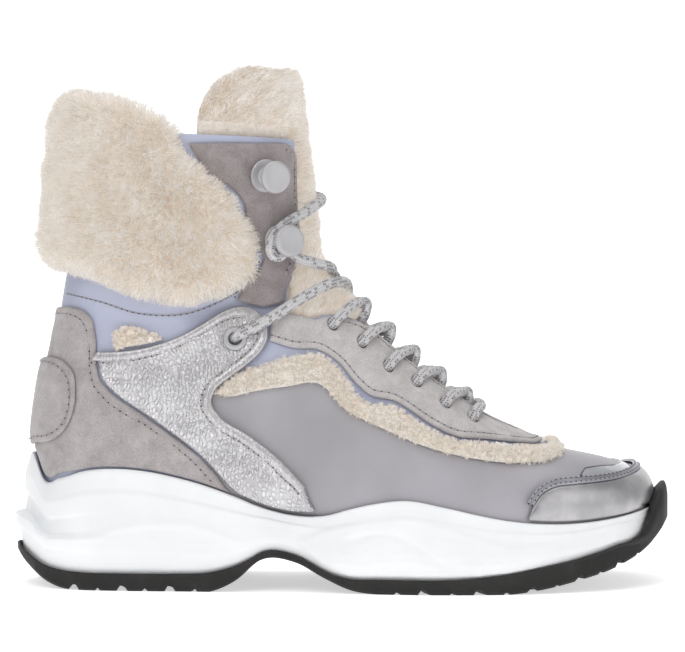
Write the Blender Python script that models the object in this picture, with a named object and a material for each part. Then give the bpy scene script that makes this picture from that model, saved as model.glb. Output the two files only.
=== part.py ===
"""High-top winter sneaker for the right foot, empty and standing on its sole.

Metres, +Z up, the toe towards +X, the outer side of the foot towards -Y, the floor at Z = 0.
Every piece of the upper is placed on one surface, surface(row, turn, lift): row counts the
sections of LAST from the toe to the top of the tongue, turn is the angle round a section from
its top centre line (positive on the outer side), and lift is the distance off the surface.
"""

import math

import bmesh
import bpy
import numpy as np
from mathutils import Matrix, Vector
from mathutils.geometry import delaunay_2d_cdt

# Driving sizes of the shoe.
SHOE_LENGTH = 0.290
COLLAR_HEIGHT = 0.196
SOLE_HEIGHT = 0.052
BALL_WIDTH = 0.094
HEEL_WIDTH = 0.066
COLLAR_WIDTH = 0.077

# Walls and layers.
UPPER_WALL = 0.0022
OVERLAY_WALL = 0.0013
STRAP_WALL = 0.0018
INSOLE_WALL = 0.0045
CUP_FLOOR = 0.0036
TOE_RIM_WALL = 0.0023
LEAST_TREAD = 0.0024
BUMPER_WALL = 0.0054
BUMPER_HEIGHT = 0.0148
TREAD_LIP = 0.0010
TREAD_ROUND = 0.0011
CUFF_DEPTH = 0.0125
TRIM_DEPTH = 0.0042
ANKLE_TRIM_CROWN = 0.0012
TONGUE_WALL = 0.0050
TONGUE_FLEECE = 0.0090

# Clearances between pieces that meet.
FIT_GAP = 0.0004
OVERLAY_GAP = 0.0007
STRAP_GAP = 0.0010
CUP_GAP = 0.0012
RIM_GAP = 0.0011
END_RIM_GAP = 0.0020
INSOLE_GAP = 0.0015
TOE_CAP_GAP = 0.0011
STRAP_RIM_GAP = 0.0024
SIDE_CLEARANCE = 0.0011

# Hardware and lace.
LACE_RADIUS = 0.0024
LACE_HOLE_RADIUS = 0.0027
EYELET_RADIUS = 0.0052
EYELET_HOLE_RADIUS = 0.0029
EYELET_HEIGHT = 0.0012
EYELET_CLEARANCE = 0.0006
HOLE_PIN_LENGTH = 0.014
STUD_RADIUS = 0.0073
STUD_NECK_RADIUS = 0.0034
STUD_HEIGHT = 0.0106
STUD_PLATE = 0.0014
STUD_CAP = 0.0026
THROAT_BOW = 0.0040
ANKLE_DIP = 4.4
STAY_ROW_PITCH = 0.0105
GROOVE_WIDTH = 0.0034
GROOVE_DEPTH = 0.0022

# How finely the solids are faceted.
SIDE_STATIONS = 48
INSOLE_STATIONS = 28
UPPER_COLUMNS = 24
EDGE_STEP = 0.0080
ROUND_SIDES = 10
HOLE_SIDES = 6
LACE_SIDES = 5


def table(columns, *rows):
    """A table with named columns, as one array for each name."""
    return dict(zip(columns.split(), np.array(rows, float).T))


def smooth(knots, values, at):
    """A smooth curve through the knots, level past its ends."""
    step = np.diff(knots)
    slope = np.diff(values) / step
    tangent = np.concatenate([slope[:1], slope[1:], slope[-1:]])
    tangent[1:-1] = (slope[:-1] * step[1:] + slope[1:] * step[:-1]) / (step[1:] + step[:-1])
    index = np.clip(np.searchsorted(knots, at) - 1, 0, len(step) - 1)
    width = step[index]
    t = np.clip((at - knots[index]) / width, 0, 1)
    start, end = values[index], values[index + 1]
    return (
        start * (1 + 2 * t) * (1 - t) ** 2
        + tangent[index] * width * t * (1 - t) ** 2
        + end * t * t * (3 - 2 * t)
        - tangent[index + 1] * width * t * t * (1 - t)
    )


def ease(low, high, at):
    """0 below low, 1 above high, and a smooth step between."""
    t = np.clip((np.asarray(at, float) - low) / (high - low), 0, 1)
    return t * t * (3 - 2 * t)


# The sole from the side: shares of the length, and heights as shares of SOLE_HEIGHT.
# tread is its underside, split the line between rubber and foam, bed the floor under the foot.
SOLE = table(
    "along tread split bed rim",
    (0.000, 0.270, 0.330, 0.66, 1.110),
    (0.026, 0.155, 0.240, 0.66, 1.105),
    (0.045, 0.080, 0.185, 0.66, 0.895),
    (0.070, 0.020, 0.150, 0.66, 0.92),
    (0.111, 0.000, 0.130, 0.66, 0.99),
    (0.157, 0.000, 0.128, 0.66, 1.01),
    (0.203, 0.000, 0.128, 0.66, 0.99),
    (0.249, 0.000, 0.130, 0.65, 0.94),
    (0.300, 0.000, 0.145, 0.63, 0.86),
    (0.340, 0.100, 0.205, 0.61, 0.78),
    (0.375, 0.262, 0.292, 0.59, 0.70),
    (0.426, 0.250, 0.280, 0.54, 0.63),
    (0.472, 0.120, 0.160, 0.50, 0.63),
    (0.510, 0.030, 0.105, 0.47, 0.69),
    (0.550, 0.000, 0.103, 0.44, 0.74),
    (0.590, 0.000, 0.103, 0.41, 0.765),
    (0.649, 0.000, 0.104, 0.40, 0.71),
    (0.700, 0.000, 0.120, 0.40, 0.645),
    (0.741, 0.000, 0.146, 0.40, 0.60),
    (0.790, 0.030, 0.195, 0.41, 0.57),
    (0.849, 0.100, 0.265, 0.42, 0.565),
    (0.911, 0.205, 0.370, 0.44, 0.60),
    (0.965, 0.370, 0.500, 0.47, 0.66),
    (1.000, 0.560, 0.640, 0.50, 0.69),
)

# Sections of the last from the toe to the top of the tongue. Each lies in a plane through its
# top point and its low or back point, given as shares of the length and of the way from the
# footbed up to the collar. ball, heel and collar are shares of those three widths, mid is where
# the section is widest between low and top, and n_top and n_low are how square its ends are.
LAST = table(
    "top_along top_up low_along low_up ball heel collar mid n_top n_low",
    (0.972, 0.055, 0.971, 0.035, 0.08, 0.00, 0.00, 0.50, 2.1, 2.2),
    (0.973, 0.085, 0.960, -0.039, 0.25, 0.00, 0.00, 0.50, 2.1, 2.4),
    (0.968, 0.117, 0.945, -0.048, 0.43, 0.00, 0.00, 0.48, 2.2, 2.6),
    (0.956, 0.146, 0.924, -0.046, 0.59, 0.00, 0.00, 0.46, 2.3, 2.8),
    (0.934, 0.169, 0.897, -0.040, 0.72, 0.00, 0.00, 0.44, 2.4, 3.0),
    (0.903, 0.189, 0.862, -0.036, 0.82, 0.00, 0.00, 0.42, 2.4, 3.2),
    (0.866, 0.206, 0.821, -0.034, 0.90, 0.00, 0.00, 0.40, 2.4, 3.2),
    (0.824, 0.224, 0.776, -0.031, 0.96, 0.00, 0.00, 0.37, 2.3, 3.2),
    (0.779, 0.252, 0.728, -0.031, 1.00, 0.00, 0.00, 0.34, 2.15, 3.2),
    (0.729, 0.297, 0.672, -0.031, 1.00, 0.00, 0.00, 0.31, 2.0, 3.2),
    (0.672, 0.366, 0.603, -0.029, 0.97, 0.00, 0.00, 0.28, 1.9, 3.1),
    (0.610, 0.447, 0.521, -0.028, 0.89, 0.00, 0.00, 0.26, 1.85, 3.0),
    (0.554, 0.529, 0.431, -0.033, 0.80, 0.00, 0.00, 0.26, 1.85, 2.9),
    (0.508, 0.604, 0.328, -0.034, 0.60, 0.31, 0.00, 0.28, 1.9, 2.8),
    (0.477, 0.660, 0.217, -0.034, 0.40, 0.52, 0.00, 0.32, 1.95, 2.7),
    (0.459, 0.697, 0.114, -0.034, 0.20, 0.76, 0.00, 0.36, 2.0, 2.6),
    (0.450, 0.721, 0.053, -0.004, 0.05, 0.94, 0.00, 0.40, 2.05, 2.5),
    (0.445, 0.742, 0.034, 0.097, 0.00, 1.00, 0.00, 0.43, 2.05, 2.4),
    (0.441, 0.762, 0.033, 0.208, 0.00, 1.00, 0.00, 0.45, 2.05, 2.3),
    (0.438, 0.786, 0.043, 0.344, 0.00, 1.00, 0.00, 0.46, 2.05, 2.2),
    (0.434, 0.815, 0.059, 0.480, 0.00, 0.98, 0.02, 0.47, 2.05, 2.15),
    (0.432, 0.852, 0.072, 0.617, 0.00, 0.84, 0.17, 0.48, 2.05, 2.1),
    (0.431, 0.899, 0.083, 0.753, 0.00, 0.58, 0.41, 0.49, 2.05, 2.1),
    (0.431, 0.949, 0.090, 0.889, 0.00, 0.30, 0.68, 0.50, 2.05, 2.1),
    (0.431, 1.003, 0.093, 1.022, 0.00, 0.10, 0.90, 0.50, 2.05, 2.1),
    (0.430, 1.090, 0.095, 1.124, 0.00, 0.00, 1.02, 0.50, 2.05, 2.1),
    (0.428, 1.195, 0.097, 1.223, 0.00, 0.00, 1.03, 0.50, 2.05, 2.1),
)
LAST_ROWS = np.arange(len(LAST["mid"]), dtype=float)
COLLAR_ROW = 24.0
TONGUE_TOP_ROW = 25.9

# How far the middle of the foot swings towards the inner side, as shares of BALL_WIDTH.
SWING = table(
    "along inward",
    (0.00, 0.020),
    (0.30, 0.010),
    (0.50, -0.025),
    (0.62, -0.025),
    (0.75, 0.010),
    (0.88, 0.055),
    (1.00, 0.100),
)

# The open throat: half its width as degrees of turn, at each row. It widens to a flex notch
# in front of the ankle.
THROAT = table(
    "row half_angle",
    (8.6, 5.0),
    (9.0, 10.5),
    (9.7, 14.0),
    (11.0, 16.0),
    (12.3, 19.0),
    (13.1, 29.0),
    (14.0, 44.0),
    (14.9, 38.0),
    (16.0, 26.0),
    (17.5, 18.0),
    (20.0, 14.5),
    (24.0, 14.5),
)
THROAT_ROW = THROAT["row"][0]
NOTCH_ROWS = (13.1, 14.9)


def height(curve, x):
    """One of the sole's side curves, as a height above the floor at x."""
    along = x / SHOE_LENGTH + 0.5
    share = smooth(SOLE["along"], SOLE[curve], along)
    if curve == "split":
        bed, tread = (smooth(SOLE["along"], SOLE[name], along) for name in ("bed", "tread"))
        share = np.minimum(share, bed - CUP_FLOOR / SOLE_HEIGHT)
        share = np.maximum(share, tread + LEAST_TREAD / SOLE_HEIGHT)
    return SOLE_HEIGHT * np.maximum(share, 0)


def side_point(along, up):
    """A point of the side view: a share of the length, and of the way from footbed to collar."""
    x = (np.asarray(along, float) - 0.5) * SHOE_LENGTH
    bed = height("bed", x)
    return x, bed + np.asarray(up, float) * (COLLAR_HEIGHT - bed)


def section(name, row):
    return smooth(LAST_ROWS, LAST[name], row)


def surface_point(row, turn):
    """Points of the upper's outside, as an array with x, y, z last."""
    row, turn = np.broadcast_arrays(np.asarray(row, float), np.asarray(turn, float))
    top_x, top_z = side_point(section("top_along", row), section("top_up", row))
    low_x, low_z = side_point(section("low_along", row), section("low_up", row))
    half = 0.5 * (
        section("ball", row) * BALL_WIDTH
        + section("heel", row) * HEEL_WIDTH
        + section("collar", row) * COLLAR_WIDTH
    )
    mid = section("mid", row)
    upper_half = np.cos(turn) >= 0
    power = 2 / np.where(upper_half, section("n_top", row), section("n_low", row))
    reach = np.abs(np.cos(turn)) ** power
    share = np.where(upper_half, mid + (1 - mid) * reach, mid * (1 - reach))
    x = low_x + (top_x - low_x) * share
    z = low_z + (top_z - low_z) * share
    inward = smooth(SWING["along"], SWING["inward"], x / SHOE_LENGTH + 0.5) * BALL_WIDTH
    y = inward - np.sign(np.sin(turn)) * half * np.abs(np.sin(turn)) ** power
    return np.stack([x, y, z], axis=-1)


def surface(row, turn, lift=0.0):
    """The upper's outside moved out by lift, along its normal."""
    row, turn = np.broadcast_arrays(np.asarray(row, float), np.asarray(turn, float))
    last = LAST_ROWS[-1]
    row_step, turn_step = 0.05, 0.03
    before, after = np.clip(row - row_step, 0, last), np.clip(row + row_step, 0, last)
    along = surface_point(after, turn) - surface_point(before, turn)
    around = surface_point(row, turn + turn_step) - surface_point(row, turn - turn_step)
    normal = np.cross(along, around)
    normal /= np.linalg.norm(normal, axis=-1, keepdims=True) + 1e-12
    at = surface_point(row, turn)
    return at + normal * np.asarray(lift, float)[..., None]


def locate(along, up):
    """The row and turn, on the outer side, of a point seen from the side."""
    want = np.stack(side_point(along, up), axis=-1)
    rows, turns = np.meshgrid(
        np.linspace(0, LAST_ROWS[-1], 209), np.linspace(0, math.pi, 145), indexing="ij"
    )
    seen = surface_point(rows, turns)[..., [0, 2]].reshape(-1, 2)
    rows, turns = rows.reshape(-1), turns.reshape(-1)
    found = []
    for point in want:
        best = np.argmin(((seen - point) ** 2).sum(-1))
        row, turn = rows[best], turns[best]
        for reach in (1.0, 0.25, 0.06, 0.015):
            near_row = np.clip(row + reach * np.linspace(-0.13, 0.13, 9), 0, LAST_ROWS[-1])
            near_turn = np.clip(turn + reach * np.linspace(-0.022, 0.022, 9), 0, math.pi)
            r, t = np.meshgrid(near_row, near_turn, indexing="ij")
            miss = ((surface_point(r, t)[..., [0, 2]] - point) ** 2).sum(-1)
            i, j = np.unravel_index(np.argmin(miss), miss.shape)
            row, turn = near_row[i], near_turn[j]
        found.append((row, turn))
    return np.array(found)


def throat_turn(row):
    return np.radians(smooth(THROAT["row"], THROAT["half_angle"], np.asarray(row, float)))


def material(name, colour, roughness, metallic=0.0):
    made = bpy.data.materials.new(name)
    made.use_nodes = True
    shader = made.node_tree.nodes["Principled BSDF"]
    shader.inputs["Base Color"].default_value = (*colour, 1)
    shader.inputs["Roughness"].default_value = roughness
    shader.inputs["Metallic"].default_value = metallic
    return made


def clear_scene():
    for obj in list(bpy.data.objects):
        bpy.data.objects.remove(obj)


MATERIALS = {}


def add_object(name, mesh, finish, smooth_angle=40):
    obj = bpy.data.objects.new(name, mesh)
    bpy.context.scene.collection.objects.link(obj)
    mesh.materials.append(MATERIALS[finish])
    mesh.shade_smooth()
    mesh.set_sharp_from_angle(angle=math.radians(smooth_angle))
    return obj


def mesh_of(name, points, faces):
    """A mesh with its doubled points joined and its faces turned out."""
    mesh = bpy.data.meshes.new(name)
    mesh.from_pydata([tuple(p) for p in points], [], [tuple(f) for f in faces])
    work = bmesh.new()
    work.from_mesh(mesh)
    bmesh.ops.remove_doubles(work, verts=work.verts, dist=2e-6)
    bmesh.ops.dissolve_degenerate(work, edges=work.edges, dist=1e-6)
    bmesh.ops.triangulate(work, faces=work.faces)
    bmesh.ops.recalc_face_normals(work, faces=work.faces)
    work.to_mesh(mesh)
    work.free()
    return mesh


def solid_sheet(name, faces, outer, inner, finish, smooth_angle=40):
    """A closed solid between two sheets of points that share their faces."""
    count = len(outer)
    edges = {}
    for face in faces:
        for a, b in zip(face, face[1:] + face[:1]):
            edges[a, b] = edges.get((a, b), 0) + 1
    border = [(a, b) for a, b in edges if (b, a) not in edges]
    every = list(faces) + [[i + count for i in reversed(face)] for face in faces]
    every += [[b, a, a + count, b + count] for a, b in border]
    points = np.concatenate([outer, inner])
    return add_object(name, mesh_of(name, points, every), finish, smooth_angle)


def grid_faces(rows, columns, closed=False, skip=None):
    """Quads of a grid, by rows, without the cells that skip(row, column) names."""
    faces = []
    for i in range(rows - 1):
        for j in range(columns if closed else columns - 1):
            if skip is None or not skip(i, j):
                k = (j + 1) % columns
                faces.append(
                    [i * columns + j, i * columns + k, (i + 1) * columns + k, (i + 1) * columns + j]
                )
    return faces


def cut(obj, cutter, operation="DIFFERENCE"):
    """Applies one exact Boolean and removes the cutter."""
    step = obj.modifiers.new("cut", "BOOLEAN")
    step.operation = operation
    step.solver = "EXACT"
    step.object = cutter
    bpy.context.view_layer.update()
    graph = bpy.context.evaluated_depsgraph_get()
    result = bpy.data.meshes.new_from_object(obj.evaluated_get(graph))
    obj.modifiers.remove(step)
    obj.data = result
    bpy.data.objects.remove(cutter)
    return obj


def footprint(level, lift):
    """The upper's outline in plan where it passes a height level(x), as a function of a station.

    A station is the angle round the plan, 0 at the toe and pi at the heel, positive towards
    the inner side, in a plan stretched to a circle.
    """
    rows, turns = np.meshgrid(
        np.linspace(0, 18.5, 240), np.linspace(0, math.pi, 150), indexing="ij"
    )
    angles, radii = [], []
    for side in (1, -1):
        at = surface(rows, turns * side, np.full(rows.shape, lift))
        over = at[..., 2] - level(at[..., 0])
        for i in range(len(rows)):
            below = np.nonzero((over[i, :-1] > 0) & (over[i, 1:] <= 0))[0]
            if len(below):
                j = below[-1]
                share = over[i, j] / (over[i, j] - over[i, j + 1])
                x, y, _ = at[i, j] + share * (at[i, j + 1] - at[i, j])
                u, v = x / SHOE_LENGTH, y / BALL_WIDTH
                angles.append(math.atan2(v, u))
                radii.append(math.hypot(u, v))
    order = np.argsort(angles)
    angles, radii = np.array(angles)[order], np.array(radii)[order]
    angles = np.concatenate([angles - 2 * math.pi, angles, angles + 2 * math.pi])
    radii = np.tile(radii, 3)
    return lambda station: np.interp(station, angles, radii)


def plan_outline(trace, out=0.0, count=SIDE_STATIONS):
    """Points of a traced outline, moved outwards by out, at each station."""
    station = np.linspace(0, 2 * math.pi, count, endpoint=False)
    wrapped = (station + math.pi) % (2 * math.pi) - math.pi
    angle = np.arctan2(np.sin(wrapped), np.cos(wrapped))
    radius = trace(angle)
    x = np.cos(angle) * radius * SHOE_LENGTH
    y = np.sin(angle) * radius * BALL_WIDTH
    step_x, step_y = np.roll(x, -1) - np.roll(x, 1), np.roll(y, -1) - np.roll(y, 1)
    size = np.hypot(step_x, step_y)
    return x + step_y / size * out, y - step_x / size * out


def rim_level(x):
    return height("rim", x)


# The side of the midsole, from the split line up to the rim: how far it stands off the upper,
# in shares of FLARE, on the long sides and round the heel. It steps in under the rim band, and
# at the heel it has a fin below the middle and a raised tab above.
FLARE = 0.0085
SIDE = table(
    "up side heel",
    (0.00, 0.78, 0.82),
    (0.07, 0.92, 0.88),
    (0.21, 0.99, 0.98),
    (0.24, 1.00, 1.20),
    (0.35, 0.96, 1.22),
    (0.40, 0.92, 0.70),
    (0.56, 0.78, 0.58),
    (0.61, 0.73, 0.74),
    (0.77, 0.62, 0.72),
    (0.81, 0.49, 0.66),
    (1.00, 0.40, 0.34),
)


def stations():
    return np.linspace(0, 2 * math.pi, SIDE_STATIONS, endpoint=False)


def toe_share(station):
    """1 across the front of the toe, 0 along the sides."""
    return 1 - ease(0.14, 0.36, np.abs(np.sin(station / 2)))


def heel_share(station):
    """1 across the back of the heel, 0 along the sides."""
    return 1 - ease(0.20, 0.40, np.abs(np.cos(station / 2)))


def side_out(station, up):
    """How far the midsole stands off the upper at a share up of its side."""
    toe, heel = toe_share(station), heel_share(station)
    side = np.interp(up, SIDE["up"], SIDE["side"]) * FLARE
    back = np.interp(up, SIDE["up"], SIDE["heel"]) * FLARE
    return (side * (1 - heel) + back * heel) * (1 - toe) + TOE_RIM_WALL * toe


def midsole_ring(trace, up):
    """One ring of the midsole's side, up from the split line to the rim."""
    x, y = plan_outline(trace, side_out(stations(), up))
    low, high = height("split", x), height("rim", x)
    return np.stack([x, y, low + (high - low) * up], axis=-1)


def ladder(count, first):
    """Faces across a ring, from each side to the other, for a ring that starts at the toe."""
    faces = []
    for i in range(count // 2):
        a, b = i, i + 1
        c, d = (count - i - 1) % count, (count - i) % count
        faces.append([first + k for k in dict.fromkeys((a, b, c, d))])
    return faces


def rings_solid(name, rings, finish, smooth_angle=40):
    """A closed solid from a stack of rings, with ladders across the first and the last."""
    count = len(rings[0])
    faces = grid_faces(len(rings), count, closed=True)
    faces += [list(reversed(f)) for f in ladder(count, 0)]
    faces += ladder(count, (len(rings) - 1) * count)
    return add_object(name, mesh_of(name, np.concatenate(rings), faces), finish, smooth_angle)


def build_midsole(trace):
    rings = [midsole_ring(trace, up) for up in SIDE["up"]]
    for share in (1.0, 0.45, 0.0):
        level = lambda x, k=share: height("bed", x) + k * (height("rim", x) - height("bed", x))
        x, y = plan_outline(footprint(level, CUP_GAP))
        rings.append(np.stack([x, y, level(x)], axis=-1))
    return rings_solid("midsole", rings, "foam", 30)


def build_outsole(trace):
    """The rubber: a tread with a thin lip round the foam, and a bumper lapped up the toe."""
    station = stations()
    bumper = 1 - ease(0.08, 0.34, np.abs(np.sin(station / 2)))
    lap = TREAD_LIP + BUMPER_HEIGHT * bumper
    wall = TREAD_LIP + (BUMPER_WALL - TREAD_LIP) * bumper
    gap = FIT_GAP + SIDE_CLEARANCE * (1 - bumper)
    rings = []

    def ring(share, extra, drop=0.0, curve="split"):
        x, y = plan_outline(trace)
        side = height("rim", x) - height("split", x)
        out = side_out(station, lap * share / side) + gap + extra
        x, y = plan_outline(trace, out)
        rings.append(np.stack([x, y, height(curve, x) + lap * share - drop], axis=-1))

    ring(0.0, wall - TREAD_ROUND, 0.0, "tread")
    ring(0.0, wall, -TREAD_ROUND, "tread")
    ring(0.0, wall, FIT_GAP)
    ring(0.5, wall)
    ring(1.0, wall * 0.7)
    ring(1.0, 0.0)
    ring(0.5, 0.0)
    ring(0.0, 0.0, 3 * FIT_GAP)
    obj = rings_solid("outsole", rings, "rubber", 30)
    return cut(obj, tread_cutter())


# Grooves across the tread: where each lies along the sole, and how far it leans.
GROOVES = table(
    "along lean",
    (0.095, 0.10),
    (0.170, 0.12),
    (0.245, 0.14),
    (0.580, -0.10),
    (0.655, -0.14),
    (0.730, -0.18),
    (0.805, -0.20),
    (0.880, -0.16),
)


def tread_cutter():
    """The grooves between the tread's lugs, as bars that follow its underside."""
    points, faces = [], []
    lanes = np.array([-1.3, 0.0, 1.3]) * BALL_WIDTH / 2
    for along, lean in zip(GROOVES["along"], GROOVES["lean"]):
        first = len(points)
        for lane, y in enumerate(lanes):
            bend = 0.10 * abs(y) + lean * y
            x = (along - 0.5) * SHOE_LENGTH + bend
            for across in (-0.5, 0.5):
                at = x + across * GROOVE_WIDTH
                floor = float(height("tread", np.array(at)))
                for z in (floor - 0.02, floor + GROOVE_DEPTH):
                    points.append((at, y, z))
        for lane in range(len(lanes) - 1):
            a, b = first + 4 * lane, first + 4 * lane + 4
            for i, j in ((0, 1), (1, 3), (3, 2), (2, 0)):
                faces.append([a + i, a + j, b + j, b + i])
        faces.append([first, first + 2, first + 3, first + 1])
        end = first + 4 * (len(lanes) - 1)
        faces.append([end, end + 1, end + 3, end + 2])
    return add_object("groove_cutter", mesh_of("groove_cutter", points, faces), "rubber")


def upper_grid():
    """Rows and turns of the upper's facets. Two columns keep to the edges of the throat."""
    front, vamp, notch, shaft = 10, 6, 5, 10
    rows = np.concatenate(
        [
            np.linspace(0, THROAT_ROW, front),
            np.linspace(THROAT_ROW, NOTCH_ROWS[0], vamp)[1:],
            np.linspace(NOTCH_ROWS[0], NOTCH_ROWS[1], notch)[1:],
            np.linspace(NOTCH_ROWS[1], COLLAR_ROW, shaft)[1:],
        ]
    )
    inside = 2
    outside = UPPER_COLUMNS // 2 - inside
    edge = throat_turn(np.maximum(rows, THROAT_ROW + 0.9))
    edge = np.where(rows >= THROAT_ROW, throat_turn(rows), edge)[:, None]
    near = edge * np.linspace(0, 1, inside + 1)[None, :-1]
    far = edge + (math.pi - edge) * np.linspace(0, 1, outside + 1)[None, :]
    half = np.concatenate([near, far], axis=1)
    turns = np.concatenate([half, -half[:, -2:0:-1]], axis=1)
    return rows, turns, front - 1, inside


def build_upper():
    rows, turns, throat_start, inside = upper_grid()
    columns = turns.shape[1]
    spread = np.repeat(rows[:, None], columns, axis=1)
    outer = surface(spread, turns, np.zeros(spread.shape))
    inner = surface(spread, turns, np.full(spread.shape, -UPPER_WALL))

    def open_throat(i, j):
        return i >= throat_start and (j < inside or j >= columns - inside)

    faces = grid_faces(len(rows), columns, closed=True, skip=open_throat)
    tip = len(rows) * columns
    faces += [[j, tip, (j + 1) % columns] for j in range(columns)]
    outer = np.concatenate([outer.reshape(-1, 3), outer[0].mean(0)[None]])
    inner = np.concatenate([inner.reshape(-1, 3), inner[0].mean(0)[None] - [UPPER_WALL, 0, 0]])
    obj = solid_sheet("upper", faces, outer, inner, "lavender")
    cut(obj, bed_cutter())
    return cut(obj, lace_hole_cutter())


def bed_cutter():
    """Everything below the footbed, which opens the upper where the sole closes it."""
    x = np.linspace(-0.56, 0.56, 33) * SHOE_LENGTH
    z = height("bed", x) + CUP_GAP
    wide = BALL_WIDTH
    points = []
    for y in (-wide, wide):
        points += [(a, y, b) for a, b in zip(x, z)]
        points += [(a, y, -0.02) for a in x]
    count = len(x)
    faces = []
    for i in range(count - 1):
        for side in (0, 2 * count):
            face = [side + i, side + i + 1, side + count + i + 1, side + count + i]
            faces.append(face if side == 0 else face[::-1])
        faces.append([i, 2 * count + i, 2 * count + i + 1, i + 1])
        faces.append([count + i, count + i + 1, 3 * count + i + 1, 3 * count + i])
    faces.append([0, count, 3 * count, 2 * count])
    faces.append([count - 1, 3 * count - 1, 4 * count - 1, 2 * count - 1][::-1])
    return add_object("bed_cutter", mesh_of("bed_cutter", points, faces), "lavender")


# Lace holes of the eyestay on the outer side, from the ankle to the toe.
LACE_HOLES = table(
    "along up",
    (0.482, 0.524),
    (0.526, 0.483),
    (0.566, 0.426),
    (0.608, 0.390),
    (0.651, 0.337),
    (0.693, 0.300),
)
STRAP_EYELET = (0.337, 0.468)
STUDS = table("along up", (0.378, 0.906), (0.398, 0.733))


def lace_holes():
    """Row and turn of each lace hole on the outer side."""
    return locate(LACE_HOLES["along"], LACE_HOLES["up"])


def frame_at(row, turn, lift=0.0):
    """A place on the surface with its outward direction."""
    at = surface(row, turn, lift)
    out = surface(row, turn, 0.01) - surface(row, turn, 0.0)
    return Vector(at), Vector(out).normalized()


def turned(name, profile, place, out, finish, sides=ROUND_SIDES, closed=False):
    """A turned piece: a profile of (radius, height) spun about out."""
    side = out.orthogonal().normalized()
    other = out.cross(side)
    points, count = [], len(profile)
    for i in range(sides):
        angle = 2 * math.pi * i / sides
        around = side * math.cos(angle) + other * math.sin(angle)
        points += [place + around * r + out * h for r, h in profile]
    faces = []
    for i in range(sides):
        k = (i + 1) % sides
        for j in range(count if closed else count - 1):
            m = (j + 1) % count
            faces.append([i * count + j, k * count + j, k * count + m, i * count + m])
    if not closed:
        faces.append([i * count for i in range(sides)])
        faces.append([i * count + count - 1 for i in reversed(range(sides))])
    return add_object(name, mesh_of(name, points, faces), finish)


def lace_hole_cutter():
    """Pins through every lace hole of both sides, as one cutter."""
    work = bmesh.new()
    for row, turn in lace_holes():
        for side in (1, -1):
            at, out = frame_at(row, turn * side)
            turn_to = out.to_track_quat("Z", "Y").to_matrix().to_4x4()
            turn_to.translation = at
            bmesh.ops.create_cone(
                work,
                cap_ends=True,
                segments=HOLE_SIDES,
                radius1=LACE_HOLE_RADIUS,
                radius2=LACE_HOLE_RADIUS,
                depth=HOLE_PIN_LENGTH,
                matrix=turn_to,
            )
    mesh = bpy.data.meshes.new("hole_cutter")
    work.to_mesh(mesh)
    work.free()
    return add_object("hole_cutter", mesh, "lavender")


def edge_curve(points, step=EDGE_STEP):
    """A smooth run of side view shares through points, one about every step."""
    along, up = np.array(points, float).T
    x, z = side_point(along, up)
    reach = np.concatenate([[0], np.cumsum(np.hypot(np.diff(x), np.diff(z)))])
    count = max(2, int(round(reach[-1] / step)) + 1)
    at = np.linspace(0, reach[-1], count)
    if len(points) == 2:
        return np.stack([np.interp(at, reach, along), np.interp(at, reach, up)], -1)
    return np.stack([smooth(reach, along, at), smooth(reach, up, at)], -1)


def side_path(*edges):
    """Row and turn along smooth edges of the side view that follow each other."""
    runs = []
    for points in edges:
        run = edge_curve(points)
        runs.append(locate(*run.T))
    return np.concatenate([run if i == 0 else run[1:] for i, run in enumerate(runs)])


def rim_path(start, end, step=EDGE_STEP, lift=RIM_GAP):
    """Row and turn along the rim, between two shares of the length."""
    count = max(2, int(abs(end - start) * SHOE_LENGTH / step) + 1)
    along = np.linspace(start, end, count)
    x = (along - 0.5) * SHOE_LENGTH
    bed = height("bed", x)
    up = (height("rim", x) + lift - bed) / (COLLAR_HEIGHT - bed)
    return locate(along, up)


def throat_path(start, end, count, margin):
    rows = np.linspace(start, end, count)
    return np.stack([rows, throat_turn(rows) + math.radians(margin)], -1)


def mirrored(path, about=0.0):
    """The same path on the inner side, in reverse."""
    other = path[::-1].copy()
    other[:, 1] = 2 * about - other[:, 1]
    return other


# One row and one radian of turn as lengths, about, for well shaped facets.
ROW_SCALE, TURN_SCALE = 0.010, 0.042
CLEAR_OF_EDGE = 0.0032
CROWN_RUN = 0.006
FLAT_FACET = 1e-5


def inside_polygon(points, polygon):
    """Which points lie in a polygon, by crossings."""
    x, y = points[:, 0], points[:, 1]
    hit = np.zeros(len(points), bool)
    for (ax, ay), (bx, by) in zip(polygon, np.roll(polygon, -1, axis=0)):
        if ay != by:
            crosses = (ay > y) != (by > y)
            hit ^= crosses & (x < ax + (y - ay) * (bx - ax) / (by - ay))
    return hit


def edge_distance(points, polygon):
    """Distance from each row and turn to a closed run's nearest side, over the surface."""
    at, corners = surface_point(*points.T), surface_point(*polygon.T)
    nearest = np.full(len(points), np.inf)
    for a, b in zip(corners, np.roll(corners, -1, axis=0)):
        run = b - a
        size = max(float(run @ run), 1e-18)
        t = np.clip((at - a) @ run / size, 0, 1)
        nearest = np.minimum(nearest, np.linalg.norm(at - a - t[:, None] * run, axis=1))
    return nearest


def subdivided(loop, step=EDGE_STEP):
    """A closed run of rows and turns with its long edges divided."""
    points = []
    for a, b in zip(loop, np.roll(loop, -1, axis=0)):
        size = np.linalg.norm(surface_point(*a) - surface_point(*b))
        count = max(1, int(round(size / step)))
        points += [a + (b - a) * i / count for i in range(count)]
    return np.array(points)


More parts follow.
